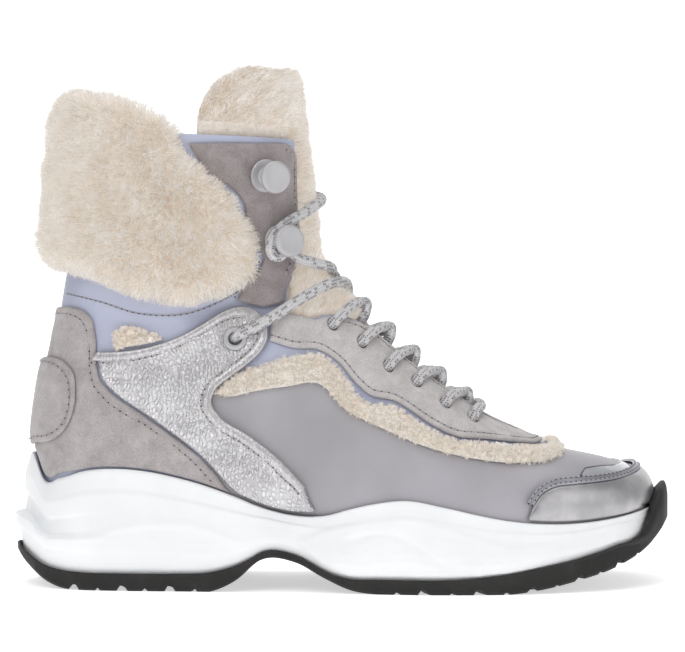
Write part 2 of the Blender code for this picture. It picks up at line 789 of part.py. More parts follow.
def panel(name, outline, finish, low, high, holes=(), crown=0.0, smooth_angle=40):
    """An overlay with an outline of rows and turns, between two lifts off the upper.

    Its inner points are those of the upper's own facets, so that the two keep their gap.
    """
    loops = [subdivided(outline)] + list(holes)
    rows, turns, _, _ = upper_grid()
    grid = np.stack([np.repeat(rows[:, None], turns.shape[1], 1), turns], -1).reshape(-1, 2)
    past = np.stack([grid[:, 0], grid[:, 1] % (2 * math.pi)], -1)
    grid = np.unique(np.concatenate([grid, past]).round(9), axis=0)
    grid = grid[inside_polygon(grid, loops[0])]
    keep = np.full(len(grid), True)
    for loop in loops:
        keep &= edge_distance(grid, loop) > CLEAR_OF_EDGE
    for hole in loops[1:]:
        keep &= ~inside_polygon(grid, hole)
    scale = np.array([ROW_SCALE, TURN_SCALE])
    points = np.concatenate(loops + [grid[keep]]) * scale
    edges, start = [], 0
    for loop in loops:
        edges += [(start + i, start + (i + 1) % len(loop)) for i in range(len(loop))]
        start += len(loop)
    found = delaunay_2d_cdt([Vector(p) for p in points], edges, [], 0, 1e-7)
    flat = np.array([tuple(v) for v in found[0]]) / scale
    faces = [list(f) for f in found[2]]
    corners = np.array([flat[f] for f in faces])
    middle = corners.mean(1)
    a_row, a_turn = (corners[:, 1] - corners[:, 0]).T
    b_row, b_turn = (corners[:, 2] - corners[:, 0]).T
    spread = np.abs(a_row * b_turn - a_turn * b_row)
    use = inside_polygon(middle, loops[0]) & (spread > FLAT_FACET)
    for hole in loops[1:]:
        use &= ~inside_polygon(middle, hole)
    faces = [f for f, u in zip(faces, use) if u]
    rise = crown * ease(0.0, CROWN_RUN, edge_distance(flat, loops[0]))
    outer = surface(*flat.T, high + rise)
    inner = surface(*flat.T, np.full(len(flat), low))
    return solid_sheet(name, faces, outer, inner, finish, smooth_angle)


def hole_loop(row, turn, radius, sides=HOLE_SIDES):
    """A round hole on the surface, as a loop of rows and turns."""
    step = 0.05
    along = np.linalg.norm(surface_point(row + step, turn) - surface_point(row - step, turn))
    around = np.linalg.norm(surface_point(row, turn + step) - surface_point(row, turn - step))
    angle = np.linspace(0, 2 * math.pi, sides, endpoint=False)
    rows = row + np.cos(angle) * radius * 2 * step / along
    turns = turn + np.sin(angle) * radius * 2 * step / around
    return np.stack([rows, turns], -1)


def both_sides(name, outline, finish, low, high, holes=(), crown=0.0):
    """A panel on the outer side and its mirror image on the inner side."""
    panel(name + "_outer", outline, finish, low, high, holes, crown)
    panel(
        name + "_inner",
        mirrored(outline),
        finish,
        low,
        high,
        [mirrored(hole) for hole in holes],
        crown,
    )


# Outlines of the overlays as seen from the outer side, in shares of the side view.
COUNTER_TOP = ((0.063, 0.544), (0.080, 0.547), (0.098, 0.544), (0.114, 0.530), (0.123, 0.508))
COUNTER_FRONT = (
    (0.123, 0.508),
    (0.128, 0.456),
    (0.129, 0.395),
    (0.135, 0.351),
    (0.151, 0.318),
    (0.197, 0.260),
    (0.245, 0.201),
    (0.283, 0.153),
    (0.311, 0.106),
)
STRAP_BACK = (
    (0.313, 0.112),
    (0.289, 0.153),
    (0.251, 0.201),
    (0.203, 0.260),
    (0.156, 0.320),
    (0.140, 0.353),
    (0.134, 0.392),
    (0.133, 0.426),
)
STRAP_TOP = (
    (0.133, 0.426),
    (0.165, 0.428),
    (0.197, 0.436),
    (0.229, 0.453),
    (0.262, 0.479),
    (0.294, 0.515),
    (0.320, 0.545),
    (0.343, 0.557),
    (0.366, 0.546),
    (0.383, 0.511),
    (0.385, 0.471),
    (0.375, 0.437),
    (0.357, 0.405),
    (0.328, 0.364),
    (0.308, 0.332),
    (0.302, 0.302),
    (0.314, 0.265),
    (0.358, 0.219),
    (0.408, 0.162),
    (0.443, 0.104),
)
WINDOW = (
    ((0.160, 0.437), (0.157, 0.463), (0.163, 0.487), (0.174, 0.494), (0.191, 0.489)),
    ((0.191, 0.489), (0.211, 0.474), (0.230, 0.461)),
    ((0.230, 0.461), (0.197, 0.446), (0.160, 0.437)),
)
STAY_BACK = (
    (0.268, 0.988),
    (0.277, 0.962),
    (0.300, 0.904),
    (0.335, 0.866),
    (0.349, 0.831),
    (0.354, 0.775),
    (0.369, 0.719),
    (0.378, 0.688),
    (0.371, 0.657),
    (0.351, 0.612),
    (0.339, 0.574),
)
STAY_FOOT = ((0.339, 0.574), (0.347, 0.569), (0.366, 0.560), (0.379, 0.556))
EYESTAY_LOW = (
    (0.3895, 0.470),
    (0.428, 0.457),
    (0.460, 0.459),
    (0.489, 0.433),
    (0.518, 0.381),
    (0.540, 0.353),
    (0.577, 0.344),
    (0.595, 0.328),
    (0.628, 0.292),
    (0.665, 0.262),
    (0.718, 0.251),
    (0.772, 0.238),
)
EYESTAY_TIP = ((0.772, 0.238), (0.792, 0.234), (0.806, 0.236))
EYESTAY_BACK = ((0.391, 0.545), (0.3895, 0.470))
TRIM_LOW = (
    (0.308, 0.322),
    (0.329, 0.317),
    (0.358, 0.331),
    (0.409, 0.354),
    (0.465, 0.371),
    (0.483, 0.346),
    (0.500, 0.315),
    (0.537, 0.288),
    (0.580, 0.262),
    (0.628, 0.234),
    (0.700, 0.205),
    (0.772, 0.193),
    (0.815, 0.198),
    (0.834, 0.212),
)
TRIM_TOP = (
    (0.338, 0.376),
    (0.391, 0.411),
    (0.428, 0.437),
    (0.465, 0.442),
    (0.489, 0.412),
    (0.512, 0.366),
    (0.533, 0.330),
    (0.574, 0.328),
    (0.592, 0.312),
    (0.624, 0.280),
    (0.661, 0.250),
    (0.716, 0.238),
    (0.770, 0.225),
    (0.796, 0.220),
    (0.813, 0.2235),
)
TOE_CAP_TOP = (
    (0.956, 0.150),
    (0.942, 0.145),
    (0.911, 0.137),
    (0.880, 0.135),
    (0.842, 0.134),
    (0.811, 0.130),
    (0.792, 0.116),
    (0.780, 0.091),
)
PATCH = (
    (0.040, 0.400),
    (0.060, 0.408),
    (0.080, 0.400),
    (0.096, 0.370),
    (0.100, 0.320),
    (0.096, 0.265),
    (0.083, 0.215),
    (0.062, 0.185),
    (0.036, 0.176),
)
CUFF_LOW = (
    (0.076, 0.645),
    (0.100, 0.634),
    (0.142, 0.607),
    (0.203, 0.558),
    (0.265, 0.548),
    (0.326, 0.586),
    (0.367, 0.655),
)
CUFF_FRONT = ((0.367, 0.690), (0.342, 0.785), (0.318, 0.844), (0.288, 0.898), (0.262, 0.939))


def snapped(path, first=None, last=None):
    """A path with the turn of its first or last point set, to end on a centre line."""
    path = path.copy()
    if first is not None:
        path[0, 1] = first
    if last is not None:
        path[-1, 1] = last
    return path


def build_counter():
    path = side_path(COUNTER_TOP, COUNTER_FRONT)
    rim = rim_path(0.330, 0.090)
    heel = rim_at_turns(np.linspace(rim[-1, 1], math.pi, 9)[1:], 13.0, 19.0)
    outer = np.concatenate([snapped(path, first=math.pi), rim, heel])
    outline = np.concatenate([outer, mirrored(outer, math.pi)[1:-1]])
    low_lift, high_lift = OVERLAY_GAP, OVERLAY_GAP + OVERLAY_WALL
    panel("heel_counter", outline, "suede", low_lift, high_lift)
    edge = snapped(side_path(PATCH), first=math.pi, last=math.pi)
    outline = np.concatenate([edge, mirrored(edge, math.pi)[1:-1]])
    base = high_lift + OVERLAY_GAP
    panel("heel_patch", outline, "suede", base, base + OVERLAY_WALL)


def rim_at_turns(turns, first_row, last_row):
    """Row and turn where an overlay's outer face meets the rim, going from row to row."""
    rows = np.linspace(first_row, last_row, 500)
    lift = np.full(len(rows), OVERLAY_GAP + OVERLAY_WALL)
    found = []
    for turn in turns:
        at = surface(rows, np.full(len(rows), turn), lift)
        over = at[:, 2] - height("rim", at[:, 0]) - END_RIM_GAP
        found.append((rows[np.argmax(over > 0)], turn))
    return np.array(found)


def build_strap():
    strap = side_path(STRAP_BACK, STRAP_TOP)
    outline = np.concatenate([strap, rim_path(0.459, 0.343, lift=STRAP_RIM_GAP)])
    row, turn = locate([STRAP_EYELET[0]], [STRAP_EYELET[1]])[0]
    hole = hole_loop(row, turn, EYELET_HOLE_RADIUS + EYELET_CLEARANCE, ROUND_SIDES)
    top = STRAP_GAP + STRAP_WALL
    both_sides("quarter_strap", outline, "silver", STRAP_GAP, top, [hole])
    ring = (
        (EYELET_HOLE_RADIUS, FIT_GAP),
        (EYELET_RADIUS, FIT_GAP),
        (EYELET_RADIUS - 0.0004, FIT_GAP + EYELET_HEIGHT * 0.7),
        (EYELET_RADIUS - 0.0014, FIT_GAP + EYELET_HEIGHT),
        (EYELET_HOLE_RADIUS + EYELET_CLEARANCE, FIT_GAP + EYELET_HEIGHT * 0.8),
    )
    for side, label in ((1, "outer"), (-1, "inner")):
        at, out = frame_at(row, turn * side, top)
        turned("strap_eyelet_" + label, ring, at, out, "painted", closed=True)


def build_shaft_stays():
    back = side_path(STAY_BACK, STAY_FOOT)
    front = throat_path(14.75, 23.3, 12, 2.0)
    corner = np.array(
        [
            (23.62, throat_turn(23.6) + math.radians(3.6)),
            (23.84, throat_turn(23.8) + math.radians(8.0)),
        ]
    )
    outline = np.concatenate([back, front, corner])
    both_sides("shaft_stay", outline, "suede", OVERLAY_GAP, OVERLAY_GAP + OVERLAY_WALL)
    rings = (
        (STUD_RADIUS, FIT_GAP),
        (STUD_RADIUS, FIT_GAP + STUD_PLATE * 0.6),
        (STUD_RADIUS - STUD_PLATE * 0.5, FIT_GAP + STUD_PLATE),
        (STUD_NECK_RADIUS, FIT_GAP + STUD_PLATE),
        (STUD_NECK_RADIUS, STUD_HEIGHT - STUD_CAP),
        (STUD_RADIUS - STUD_CAP * 0.1, STUD_HEIGHT - STUD_CAP),
        (STUD_RADIUS - STUD_CAP * 0.1, STUD_HEIGHT - STUD_CAP * 0.3),
        (STUD_RADIUS - STUD_CAP * 0.4, STUD_HEIGHT),
    )
    for place, (row, turn) in zip(("upper", "lower"), locate(STUDS["along"], STUDS["up"])):
        for side, label in ((1, "outer"), (-1, "inner")):
            at, out = frame_at(row, turn * side, OVERLAY_GAP + OVERLAY_WALL)
            turned(f"lace_stud_{place}_{label}", rings, at, out, "painted")


def build_eyestay():
    notch = np.stack(
        [
            np.linspace(13.5, 12.4, 4),
            throat_turn(np.linspace(13.5, 12.4, 4)) + math.radians(2.0),
        ],
        -1,
    )
    throat = throat_path(12.2, 9.2, 6, 2.0)
    mouth = np.array([(8.72, math.radians(9.5)), (8.42, math.radians(6.0)), (8.32, 0.0)])
    inner = np.concatenate([notch, throat, mouth])
    back = side_path(EYESTAY_BACK, EYESTAY_LOW, EYESTAY_TIP)
    tip = np.array([(7.42, 0.0)])
    outer = np.concatenate([back, tip])
    half = np.concatenate([inner[::-1], outer])
    outline = np.concatenate([half, mirrored(half)[1:-1]])
    holes = []
    for row, turn in lace_holes():
        loop = hole_loop(row, turn, LACE_HOLE_RADIUS)
        holes += [loop, mirrored(loop)]
    low, high = OVERLAY_GAP, OVERLAY_GAP + OVERLAY_WALL
    panel("eyestay", outline, "suede", low, high, holes)


def build_trims():
    low_run = side_path(TRIM_LOW)
    top_run = side_path(TRIM_TOP)
    tip_low, tip_top = np.array([(6.95, 0.0)]), np.array([(7.30, 0.0)])
    half = np.concatenate([tip_top, top_run[::-1], low_run, tip_low])
    outline = np.concatenate([half, mirrored(half)[1:-1]])
    low, high = OVERLAY_GAP, OVERLAY_GAP + OVERLAY_WALL
    panel("fleece_trim", outline, "fleece", low, high, crown=TRIM_DEPTH - OVERLAY_WALL)
    window = side_path(*WINDOW)[:-1]
    both_sides("ankle_trim", window, "fleece", low, high, crown=ANKLE_TRIM_CROWN)


def build_toe_cap():
    top = snapped(side_path(TOE_CAP_TOP), first=0.0)
    rim = rim_path(0.772, 0.950)
    front = rim_at_turns(np.linspace(rim[-1, 1], 0.0, 7)[1:], 0.02, 4.0)
    half = np.concatenate([top, rim, front])
    outline = np.concatenate([half, mirrored(half)[1:-1]])
    panel("toe_cap", outline, "silver", TOE_CAP_GAP, TOE_CAP_GAP + OVERLAY_WALL)


# The fleece cuff across its depth, from the lower edge over the outside to the inner face:
# how far up the cuff, and how far out as a share of CUFF_DEPTH.
CUFF = table(
    "up out",
    (0.00, 0.26),
    (0.03, 0.72),
    (0.14, 1.00),
    (0.50, 1.03),
    (0.84, 0.94),
    (0.96, 0.70),
    (1.00, 0.35),
    (1.00, 0.00),
    (0.66, 0.00),
    (0.33, 0.00),
    (0.00, 0.00),
)
CUFF_TOP_ROWS = table(
    "degrees row",
    (40, 24.15),
    (95, 24.25),
    (120, 24.70),
    (150, 24.90),
    (180, 24.85),
)
CUFF_STATIONS = 24


def build_cuff():
    low_edge = side_path(CUFF_LOW)
    front_edge = side_path(CUFF_FRONT)
    tip = 0.5 * (low_edge[-1] + front_edge[0])
    low_edge, front_edge = np.vstack([low_edge, tip]), np.vstack([tip, front_edge])
    low_order, front_order = np.argsort(low_edge[:, 1]), np.argsort(front_edge[:, 1])
    spread = (1 - np.cos(np.linspace(0, math.pi / 2, CUFF_STATIONS // 2 + 1))) ** 0.8
    half = tip[1] + (math.pi - tip[1]) * (0.012 + 0.988 * spread)
    turns = np.concatenate([half, 2 * math.pi - half[-2::-1]])
    folded = np.minimum(turns, 2 * math.pi - turns)
    low = np.interp(folded, low_edge[low_order, 1], low_edge[low_order, 0])
    high = np.interp(folded, front_edge[front_order, 1], front_edge[front_order, 0])
    top = smooth(np.radians(CUFF_TOP_ROWS["degrees"]), CUFF_TOP_ROWS["row"], folded)
    past = ease(front_edge[-1, 1] - 0.02, front_edge[-1, 1] + 0.22, folded)
    high = high * (1 - past) + top * past
    taper = ease(0.0, 0.55, folded - tip[1]) ** 0.5 * 0.85 + 0.15
    rows = low[:, None] + (high - low)[:, None] * CUFF["up"][None, :]
    lifts = OVERLAY_GAP + FIT_GAP + CUFF_DEPTH * CUFF["out"][None, :] * taper[:, None]
    grid = surface(rows, np.repeat(turns[:, None], rows.shape[1], 1), lifts)
    count = rows.shape[1]
    faces = grid_faces(len(turns), count, closed=True)
    faces.append(list(range(count)))
    faces.append([(len(turns) - 1) * count + j for j in reversed(range(count))])
    points = grid.reshape(-1, 3)
    return add_object("fleece_cuff", mesh_of("fleece_cuff", points, faces), "fleece", 60)


# The tongue at each row: half its width in degrees of turn, how far its middle bulges out of
# the throat as a share of TONGUE_FLEECE, and its thickness as a share of TONGUE_WALL.
TONGUE = table(
    "row half_angle bulge thick",
    (7.6, 26, -0.30, 0.5),
    (8.4, 28, -0.20, 0.7),
    (10.0, 32, -0.05, 0.9),
    (12.0, 36, 0.02, 1.0),
    (14.0, 64, 0.10, 1.1),
    (16.0, 62, 0.40, 1.3),
    (18.0, 60, 0.62, 1.6),
    (20.0, 62, 0.75, 1.9),
    (22.0, 66, 0.70, 2.2),
    (24.0, 72, 0.45, 2.5),
    (24.6, 73, 0.38, 2.6),
    (25.2, 71, 0.25, 2.6),
    (25.65, 63, 0.10, 2.3),
    (25.9, 50, -0.10, 1.4),
)


def build_tongue():
    upper_rows, _, throat_start, _ = upper_grid()
    tip, top = TONGUE["row"][0], TONGUE["row"][-4:]
    rows = np.concatenate([[tip], upper_rows[throat_start:], top])
    half = np.radians(smooth(TONGUE["row"], TONGUE["half_angle"], rows))[:, None]
    edge = np.where(rows > THROAT_ROW + 0.3, throat_turn(rows), np.radians(4.0))[:, None]
    tucked = edge + math.radians(1.0)
    bare = edge - np.minimum(math.radians(4.5), edge * 0.4)
    lanes = [half, half * 0.6 + tucked * 0.4, tucked]
    lanes += [bare, bare * 0.6]
    lanes = np.concatenate(lanes, axis=1)
    turns = np.concatenate([-lanes, np.zeros((len(rows), 1)), lanes[:, ::-1]], axis=1)
    columns = turns.shape[1]
    bulge = smooth(TONGUE["row"], TONGUE["bulge"], rows)[:, None] * TONGUE_FLEECE
    thick = smooth(TONGUE["row"], TONGUE["thick"], rows)[:, None] * TONGUE_WALL
    under = -(UPPER_WALL + 3 * FIT_GAP)
    side = np.abs(turns)
    shown = (side < edge - math.radians(1.0)) & (rows[:, None] > THROAT_ROW + 0.3)
    crest = np.clip(1 - (side / bare) ** 2, 0, 1) * 0.85 + 0.15
    free = ease(COLLAR_ROW + 0.1, COLLAR_ROW + 0.9, rows)[:, None]
    lip = np.cos(side / half * math.pi / 2.2)
    outer_lift = under + (bulge - under) * np.maximum(np.where(shown, crest, 0.0), free * lip)
    outer_lift = np.minimum(outer_lift, np.where(shown, bulge, outer_lift))
    round_off = 1 - 0.72 * ease(0.62, 1.0, side / half)
    inner_lift = np.minimum(under - thick * round_off, outer_lift - thick * round_off * 0.6)
    spread = np.repeat(rows[:, None], columns, 1)
    outer = surface(spread, turns, outer_lift).reshape(-1, 3)
    inner = surface(spread, turns, inner_lift).reshape(-1, 3)
    return solid_sheet("tongue", grid_faces(len(rows), columns), outer, inner, "fleece", 60)


def build_insole():
    inset = -(UPPER_WALL + 4 * FIT_GAP)

    def ring(rise):
        level = lambda x: height("bed", x) + rise
        x, y = plan_outline(footprint(level, inset), -INSOLE_GAP, INSOLE_STATIONS)
        return np.stack([x, y, level(x)], axis=-1)

    rings = [ring(rise) for rise in (FIT_GAP, INSOLE_WALL / 2, INSOLE_WALL)]
    return rings_solid("insole", rings, "lining")


def cord_solid(name, path, sides=LACE_SIDES, radius=LACE_RADIUS):
    """A round bar along a path of points, with flat ends."""
    path = [Vector(p) for p in path]
    points = []
    for i, at in enumerate(path):
        ahead = (path[min(i + 1, len(path) - 1)] - path[max(i - 1, 0)]).normalized()
        side = ahead.cross(Vector((0.3, 0, 1))).normalized()
        other = ahead.cross(side)
        for j in range(sides):
            angle = 2 * math.pi * j / sides
            points.append(at + side * radius * math.cos(angle) + other * radius * math.sin(angle))
    faces = grid_faces(len(path), sides, closed=True)
    faces.append(list(range(sides)))
    faces.append([(len(path) - 1) * sides + j for j in reversed(range(sides))])
    return add_object(name, mesh_of(name, points, faces), "lace", 60)


def lace_run(start, end, lift, bow=0.0, steps=5, dip=0.0):
    """Points from one row and turn to another, at a lift off the surface.

    The middle of the run stands off by bow more, and lies dip rows nearer to the toe.
    """
    share = np.linspace(0, 1, steps)
    row = start[0] + (end[0] - start[0]) * share - dip * np.sin(share * math.pi)
    turn = start[1] + (end[1] - start[1]) * share
    return surface(row, turn, lift + bow * np.sin(share * math.pi) ** 2)


def crossing(name, start, end, *shape):
    """Two strands that cross over the throat, as one joined solid."""
    first = cord_solid(name, lace_run(start, end, *shape))
    start, end = (start[0], -start[1]), (end[0], -end[1])
    other = cord_solid("lace_other", lace_run(start, end, *shape))
    return cut(first, other, "UNION")


def build_lace():
    """Each crossing as one joined solid, clear of the tongue, the overlays and the studs."""
    lift = OVERLAY_GAP + OVERLAY_WALL + FIT_GAP + LACE_RADIUS
    holes = lace_holes()
    for k, high in enumerate(holes[:-1]):
        low = holes[k + 1]
        under = (low[0] + 0.28, -0.56 * low[1])
        crossing(f"lace_crossing_{k + 1}", (high[0], high[1]), under, lift)
    last = holes[-1]
    bar = lace_run((last[0] - 0.1, last[1]), (last[0] - 0.1, -last[1]), lift)
    cord_solid("lace_bar_toe", bar)
    strap = locate([STRAP_EYELET[0]], [STRAP_EYELET[1]])[0]
    upper_stud, lower_stud = locate(STUDS["along"], STUDS["up"])
    reach = STUD_NECK_RADIUS + LACE_RADIUS + FIT_GAP
    turn_reach, row_reach = reach / (COLLAR_WIDTH / 2), reach / STAY_ROW_PITCH
    above = STRAP_GAP + STRAP_WALL + EYELET_HEIGHT + 2 * FIT_GAP + LACE_RADIUS
    end = (lower_stud[0] - 2.1 * row_reach, -lower_stud[1])
    crossing("lace_crossing_ankle", tuple(strap), end, above, THROAT_BOW, 9, ANKLE_DIP)
    start = (lower_stud[0] + 0.6 * row_reach, lower_stud[1] - 0.8 * turn_reach)
    end = (upper_stud[0] - 0.6 * row_reach, -(upper_stud[1] - 0.8 * turn_reach))
    run = lace_run(start, end, above, THROAT_BOW, 8)
    cord_solid("lace_strand_shaft", run)


def centre():
    """Moves every piece so that the shoe's box stands centred over the origin."""
    pieces = [obj for obj in bpy.data.objects if obj.type == "MESH"]
    corners = np.array([obj.matrix_world @ Vector(c) for obj in pieces for c in obj.bound_box])
    low, high = corners.min(0), corners.max(0)
    shift = Vector((-(low[0] + high[0]) / 2, -(low[1] + high[1]) / 2, -low[2]))
    for obj in pieces:
        obj.data.transform(Matrix.Translation(shift))


def main():
    clear_scene()
    colours = {
        "rubber": ((0.02, 0.02, 0.02), 0.6),
        "foam": ((0.86, 0.87, 0.87), 0.5),
        "lavender": ((0.52, 0.56, 0.72), 0.45),
        "suede": ((0.40, 0.38, 0.38), 0.9),
        "silver": ((0.72, 0.73, 0.75), 0.35),
        "fleece": ((0.84, 0.79, 0.70), 1.0),
        "lining": ((0.80, 0.77, 0.70), 1.0),
        "painted": ((0.42, 0.42, 0.44), 0.5),
        "lace": ((0.66, 0.66, 0.67), 0.8),
    }
    for name, (colour, roughness) in colours.items():
        metallic = 0.8 if name == "silver" else 0.0
        MATERIALS[name] = material(name, colour, roughness, metallic)
    trace = footprint(rim_level, 0.0)
    build_midsole(trace)
    build_outsole(trace)
    build_insole()
    build_upper()
    build_tongue()
    build_counter()
    build_strap()
    build_shaft_stays()
    build_eyestay()
    build_trims()
    build_toe_cap()
    build_cuff()
    build_lace()
    centre()


main()
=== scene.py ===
import math

import bmesh
import bpy
import numpy as np
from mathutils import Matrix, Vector
from mathutils.geometry import delaunay_2d_cdt


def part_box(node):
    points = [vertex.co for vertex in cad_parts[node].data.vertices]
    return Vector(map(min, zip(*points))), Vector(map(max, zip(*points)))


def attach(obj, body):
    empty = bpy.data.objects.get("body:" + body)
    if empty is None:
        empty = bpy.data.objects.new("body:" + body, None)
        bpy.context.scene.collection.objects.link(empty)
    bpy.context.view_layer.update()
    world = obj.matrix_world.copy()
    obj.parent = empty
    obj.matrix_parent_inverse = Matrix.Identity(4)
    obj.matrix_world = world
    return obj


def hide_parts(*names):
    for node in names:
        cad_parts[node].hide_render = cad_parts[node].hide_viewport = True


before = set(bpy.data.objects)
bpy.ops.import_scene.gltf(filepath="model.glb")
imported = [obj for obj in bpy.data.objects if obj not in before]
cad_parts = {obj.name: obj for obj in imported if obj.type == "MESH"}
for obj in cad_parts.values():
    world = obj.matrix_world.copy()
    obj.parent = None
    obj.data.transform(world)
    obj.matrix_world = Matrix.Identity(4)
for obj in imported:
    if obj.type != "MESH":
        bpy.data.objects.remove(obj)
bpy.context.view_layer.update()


# Midsole. One moulded cup of white foam that the upper is glued into: an arch under the waist,
# a fin and a raised tab at the heel, a soft rim band, and a swept wedge with ribs on the forefoot.

SHOE_LENGTH = 0.290
COLLAR_HEIGHT = 0.196
SOLE_HEIGHT = 0.052
BALL_WIDTH = 0.094
HEEL_WIDTH = 0.066
COLLAR_WIDTH = 0.077
CUP_FLOOR = 0.0036
LEAST_TREAD = 0.0024
CUP_GAP = 0.0012
TOE_RIM_WALL = 0.0023
FLARE = 0.0085
CAD_STATIONS = 48
FOAM_STATIONS = 460
RIM_ROUND = 0.0009


def table(columns, *rows):
    """A table with named columns, as one array for each name."""
    return dict(zip(columns.split(), np.array(rows, float).T))


def smooth(knots, values, at):
    """A smooth curve through the knots, level past its ends."""
    knots, values = np.asarray(knots, float), np.asarray(values, float)
    step = np.diff(knots)
    slope = np.diff(values) / step
    tangent = np.concatenate([slope[:1], slope[1:], slope[-1:]])
    tangent[1:-1] = (slope[:-1] * step[1:] + slope[1:] * step[:-1]) / (step[1:] + step[:-1])
    index = np.clip(np.searchsorted(knots, at) - 1, 0, len(step) - 1)
    width = step[index]
    t = np.clip((at - knots[index]) / width, 0, 1)
    start, end = values[index], values[index + 1]
    return (
        start * (1 + 2 * t) * (1 - t) ** 2
        + tangent[index] * width * t * (1 - t) ** 2
        + end * t * t * (3 - 2 * t)
        - tangent[index + 1] * width * t * t * (1 - t)
    )


def ease(low, high, at):
    """0 below low, 1 above high, and a smooth step between."""
    t = np.clip((np.asarray(at, float) - low) / (high - low), 0, 1)
    return t * t * (3 - 2 * t)


# The sole from the side, in shares of the length and of SOLE_HEIGHT: tread is its underside,
# split the line between rubber and foam, bed the floor under the foot.
SOLE = table(
    "along tread split bed rim",
    (0.000, 0.270, 0.330, 0.66, 1.110),
    (0.026, 0.155, 0.240, 0.66, 1.105),
    (0.045, 0.080, 0.185, 0.66, 0.895),
    (0.070, 0.020, 0.150, 0.66, 0.92),
    (0.111, 0.000, 0.130, 0.66, 0.99),
    (0.157, 0.000, 0.128, 0.66, 1.01),
    (0.203, 0.000, 0.128, 0.66, 0.99),
    (0.249, 0.000, 0.130, 0.65, 0.94),
    (0.300, 0.000, 0.145, 0.63, 0.86),
    (0.340, 0.100, 0.205, 0.61, 0.78),
    (0.375, 0.262, 0.292, 0.59, 0.70),
    (0.426, 0.250, 0.280, 0.54, 0.63),
    (0.472, 0.120, 0.160, 0.50, 0.63),
    (0.510, 0.030, 0.105, 0.47, 0.69),
    (0.550, 0.000, 0.103, 0.44, 0.74),
    (0.590, 0.000, 0.103, 0.41, 0.765),
    (0.649, 0.000, 0.104, 0.40, 0.71),
    (0.700, 0.000, 0.120, 0.40, 0.645),
    (0.741, 0.000, 0.146, 0.40, 0.60),
    (0.790, 0.030, 0.195, 0.41, 0.57),
    (0.849, 0.100, 0.265, 0.42, 0.565),
    (0.911, 0.205, 0.370, 0.44, 0.60),
    (0.965, 0.370, 0.500, 0.47, 0.66),
    (1.000, 0.560, 0.640, 0.50, 0.69),
)

# Sections of the last from the toe to the top of the tongue: the top point and the low or back
# point in shares of the side view, the share of each width, where the section is widest, and
# how square its two ends are.
LAST = table(
    "top_along top_up low_along low_up ball heel collar mid n_top n_low",
    (0.972, 0.055, 0.971, 0.035, 0.08, 0.00, 0.00, 0.50, 2.1, 2.2),
    (0.973, 0.085, 0.960, -0.039, 0.25, 0.00, 0.00, 0.50, 2.1, 2.4),
    (0.968, 0.117, 0.945, -0.048, 0.43, 0.00, 0.00, 0.48, 2.2, 2.6),
    (0.956, 0.146, 0.924, -0.046, 0.59, 0.00, 0.00, 0.46, 2.3, 2.8),
    (0.934, 0.169, 0.897, -0.040, 0.72, 0.00, 0.00, 0.44, 2.4, 3.0),
    (0.903, 0.189, 0.862, -0.036, 0.82, 0.00, 0.00, 0.42, 2.4, 3.2),
    (0.866, 0.206, 0.821, -0.034, 0.90, 0.00, 0.00, 0.40, 2.4, 3.2),
    (0.824, 0.224, 0.776, -0.031, 0.96, 0.00, 0.00, 0.37, 2.3, 3.2),
    (0.779, 0.252, 0.728, -0.031, 1.00, 0.00, 0.00, 0.34, 2.15, 3.2),
    (0.729, 0.297, 0.672, -0.031, 1.00, 0.00, 0.00, 0.31, 2.0, 3.2),
    (0.672, 0.366, 0.603, -0.029, 0.97, 0.00, 0.00, 0.28, 1.9, 3.1),
    (0.610, 0.447, 0.521, -0.028, 0.89, 0.00, 0.00, 0.26, 1.85, 3.0),
    (0.554, 0.529, 0.431, -0.033, 0.80, 0.00, 0.00, 0.26, 1.85, 2.9),
    (0.508, 0.604, 0.328, -0.034, 0.60, 0.31, 0.00, 0.28, 1.9, 2.8),
    (0.477, 0.660, 0.217, -0.034, 0.40, 0.52, 0.00, 0.32, 1.95, 2.7),
    (0.459, 0.697, 0.114, -0.034, 0.20, 0.76, 0.00, 0.36, 2.0, 2.6),
    (0.450, 0.721, 0.053, -0.004, 0.05, 0.94, 0.00, 0.40, 2.05, 2.5),
    (0.445, 0.742, 0.034, 0.097, 0.00, 1.00, 0.00, 0.43, 2.05, 2.4),
    (0.441, 0.762, 0.033, 0.208, 0.00, 1.00, 0.00, 0.45, 2.05, 2.3),
    (0.438, 0.786, 0.043, 0.344, 0.00, 1.00, 0.00, 0.46, 2.05, 2.2),
    (0.434, 0.815, 0.059, 0.480, 0.00, 0.98, 0.02, 0.47, 2.05, 2.15),
    (0.432, 0.852, 0.072, 0.617, 0.00, 0.84, 0.17, 0.48, 2.05, 2.1),
    (0.431, 0.899, 0.083, 0.753, 0.00, 0.58, 0.41, 0.49, 2.05, 2.1),
    (0.431, 0.949, 0.090, 0.889, 0.00, 0.30, 0.68, 0.50, 2.05, 2.1),
    (0.431, 1.003, 0.093, 1.022, 0.00, 0.10, 0.90, 0.50, 2.05, 2.1),
    (0.430, 1.090, 0.095, 1.124, 0.00, 0.00, 1.02, 0.50, 2.05, 2.1),
    (0.428, 1.195, 0.097, 1.223, 0.00, 0.00, 1.03, 0.50, 2.05, 2.1),
)
LAST_ROWS = np.arange(len(LAST["mid"]), dtype=float)

# How far the middle of the foot swings towards the inner side, in shares of BALL_WIDTH.
SWING = table(
    "along inward",
    (0.00, 0.020),
    (0.30, 0.010),
    (0.50, -0.025),
    (0.62, -0.025),
    (0.75, 0.010),
    (0.88, 0.055),
    (1.00, 0.100),
)

